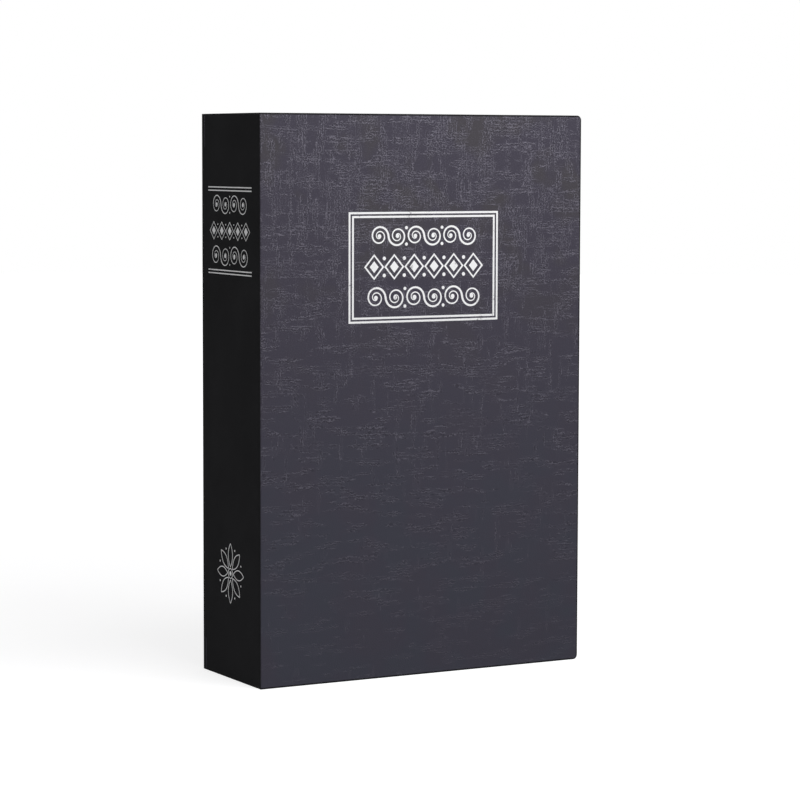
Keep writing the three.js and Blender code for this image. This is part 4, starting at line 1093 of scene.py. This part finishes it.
def fleuron_tree():
    """A flower: pointed petals round a ring and an eye, with a bead between every two tips."""
    tree, given, result = geometry_tree("fleuron", {
        "Petals": "Int", "Radius": "Float", "Stroke": "Float", "Height": "Float", "Foil": "Material",
    })
    circle = add(tree, "GeometryNodeCurvePrimitiveCircle", {"Resolution": 32, "Radius": 1.0}).outputs[0]
    at = vertex(tree)
    pointed = times(tree, times(tree, at["X"], calc(tree, "ABSOLUTE", at["X"])), PETAL_HALF_WIDTH)
    petal = reshaped(tree, circle, vector(tree, pointed, plus(tree, at["Y"], PETAL_MIDDLE)))
    half = calc(tree, "DIVIDE", given["Radius"], PETAL_MIDDLE + 1.0)
    petal = stroke(tree, given, moved(tree, petal, Scale=vector(tree, half, half, 1.0)))
    ring = add(tree, "GeometryNodeCurvePrimitiveCircle", {"Resolution": 40, "Radius": half}).outputs[0]
    ring = stroke(tree, given, moved(tree, ring, Scale=(FLOWER_RING, FLOWER_RING, 1.0)))
    eye = cylinder(tree, times(tree, half, 0.2), given["Height"], BEAD_SIDES)
    dot = cylinder(tree, times(tree, given["Stroke"], 1.1), given["Height"], BEAD_SIDES)
    dot = moved(tree, dot, Translation=vector(tree, y=times(tree, given["Radius"], BEADS_AT)))
    step = calc(tree, "DIVIDE", 2 * math.pi, given["Petals"])
    index = add(tree, "GeometryNodeInputIndex").outputs[0]
    spots = add(tree, "GeometryNodeMeshLine", {"Count": given["Petals"], "Offset": (0, 0, 0)}).outputs[0]
    for shape, share in ((petal, 0.0), (dot, 0.5)):
        angle = vector(tree, z=times(tree, plus(tree, index, share), step))
        ring = join(tree, ring, copies(tree, spots, shape, Rotation=turned(tree, angle)))
    finish_tree(tree, join(tree, ring, eye), given["Foil"], result)
    return tree


def rule_tree():
    """A straight foil line, from one end to the other."""
    tree, given, result = geometry_tree("rule", {
        "From": "Vector", "To": "Vector", "Stroke": "Float", "Height": "Float", "Foil": "Material",
    })
    ends = {"Start": given["From"], "End": given["To"]}
    line = add(tree, "GeometryNodeCurvePrimitiveLine", ends).outputs[0]
    finish_tree(tree, stroke(tree, given, line), given["Foil"], result)
    return tree


foil = white_foil()
scroll_band = scroll_tree()
lozenge_band = lozenge_tree()
rule = rule_tree()
fleuron = fleuron_tree()
front_low, front_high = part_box("front_covering")
spine_low, spine_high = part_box("spine_cloth")
# The top left corner of each face, with x across the face, y up it and z out of it
ON_FRONT = Matrix.Translation((front_low.x, front_low.y, front_high.z)) @ Matrix((
    (1, 0, 0, 0), (0, 0, -1, 0), (0, 1, 0, 0), (0, 0, 0, 1),
))
ON_SPINE = Matrix.Translation((spine_low.x, -front_low.y, spine_high.z)) @ Matrix((
    (0, 0, -1, 0), (-1, 0, 0, 0), (0, 1, 0, 0), (0, 0, 0, 1),
))


def blocked(name, body, face, parts):
    """Joins foil shapes into one piece. Their places are millimetres across from the left edge of that
    face and up from its head, so down the face is negative."""
    shape = bmesh.new()
    for part, (x, y) in parts:
        part.data.transform(Matrix.Translation((x * MM, y * MM, 0)))
        shape.from_mesh(part.data)
        bpy.data.objects.remove(part)
    bmesh.ops.transform(shape, matrix=face, verts=shape.verts)
    bmesh.ops.recalc_face_normals(shape, faces=shape.faces)
    piece = put(name, mesh_of(name, shape))
    piece.data.materials.append(foil)
    piece.data.shade_flat()
    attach(piece, body)


def foil_shape(name, tree, x, y, weight, **values):
    """One foil shape and its place on the face. Weight is the width of its strokes in millimetres."""
    values |= {"Stroke": weight * MM, "Height": FOIL, "Foil": foil}
    return grow(name, tree, values), (x, y)


def line(x0, y0, x1, y1, width):
    ends = {"From": (x0 * MM, y0 * MM, 0), "To": (x1 * MM, y1 * MM, 0)}
    return foil_shape("rule", rule, 0, 0, width, **ends)


def scrolls(x, y, pairs, width, weight):
    return foil_shape("scrolls", scroll_band, x, y, weight, Pairs=pairs, Width=width * MM)


def lozenges(x, y, count, width, rise, weight):
    sizes = {"Count": count, "Width": width * MM, "Rise": rise * MM}
    return foil_shape("lozenges", lozenge_band, x, y, weight, **sizes)


def flower(x, y, petals, radius, weight):
    return foil_shape("flower", fleuron, x, y, weight, Petals=petals, Radius=radius * MM)


# Millimetres from the left edge of the face and down from its head
FRAME_LEFT = 41.1
FRAME_RIGHT = 113.8
FRAME_TOP = 41.2
FRAME_FOOT = 88.0
FRAME_RULE = 0.86
FRAME_STEP = 1.62
SPINE_LEFT = 6.6
SPINE_RIGHT = 48.7
SPINE_RULES_AT = (31.0, 32.4, 66.1, 67.5)
SPINE_RULE = 0.5
FLOWER_MIDDLE = 27.5


def frame_rules(step):
    """Four rules round the frame, moved in by a step from its outline. Those at the sides fit between
    the other two."""
    half = FRAME_RULE / 2
    left = FRAME_LEFT + step + half
    right = FRAME_RIGHT - step - half
    top = -FRAME_TOP - step - half
    foot = -FRAME_FOOT + step + half
    return [
        line(left - half, top, right + half, top, FRAME_RULE),
        line(left - half, foot, right + half, foot, FRAME_RULE),
        line(left, top - half, left, foot + half, FRAME_RULE),
        line(right, top - half, right, foot + half, FRAME_RULE),
    ]


middle = (FRAME_LEFT + FRAME_RIGHT) / 2
blocked("front_foil", "front_cover", ON_FRONT, [
    *frame_rules(0),
    *frame_rules(FRAME_STEP),
    scrolls(middle, -51.4, pairs=3, width=52.0, weight=0.95),
    lozenges(middle, -64.4, count=6, width=58.0, rise=10.0, weight=1.0),
    scrolls(middle, -77.4, pairs=3, width=56.0, weight=0.95),
])

middle = (SPINE_LEFT + SPINE_RIGHT) / 2
blocked("spine_foil", "book_body", ON_SPINE, [
    *[line(SPINE_LEFT, -y, SPINE_RIGHT, -y, SPINE_RULE) for y in SPINE_RULES_AT],
    scrolls(middle, -38.3, pairs=2, width=34.0, weight=0.48),
    lozenges(middle, -49.4, count=5, width=39.0, rise=7.4, weight=0.44),
    scrolls(middle, -60.0, pairs=2, width=36.0, weight=0.48),
    flower(FLOWER_MIDDLE, -194.8, petals=8, radius=12.8, weight=0.4),
])
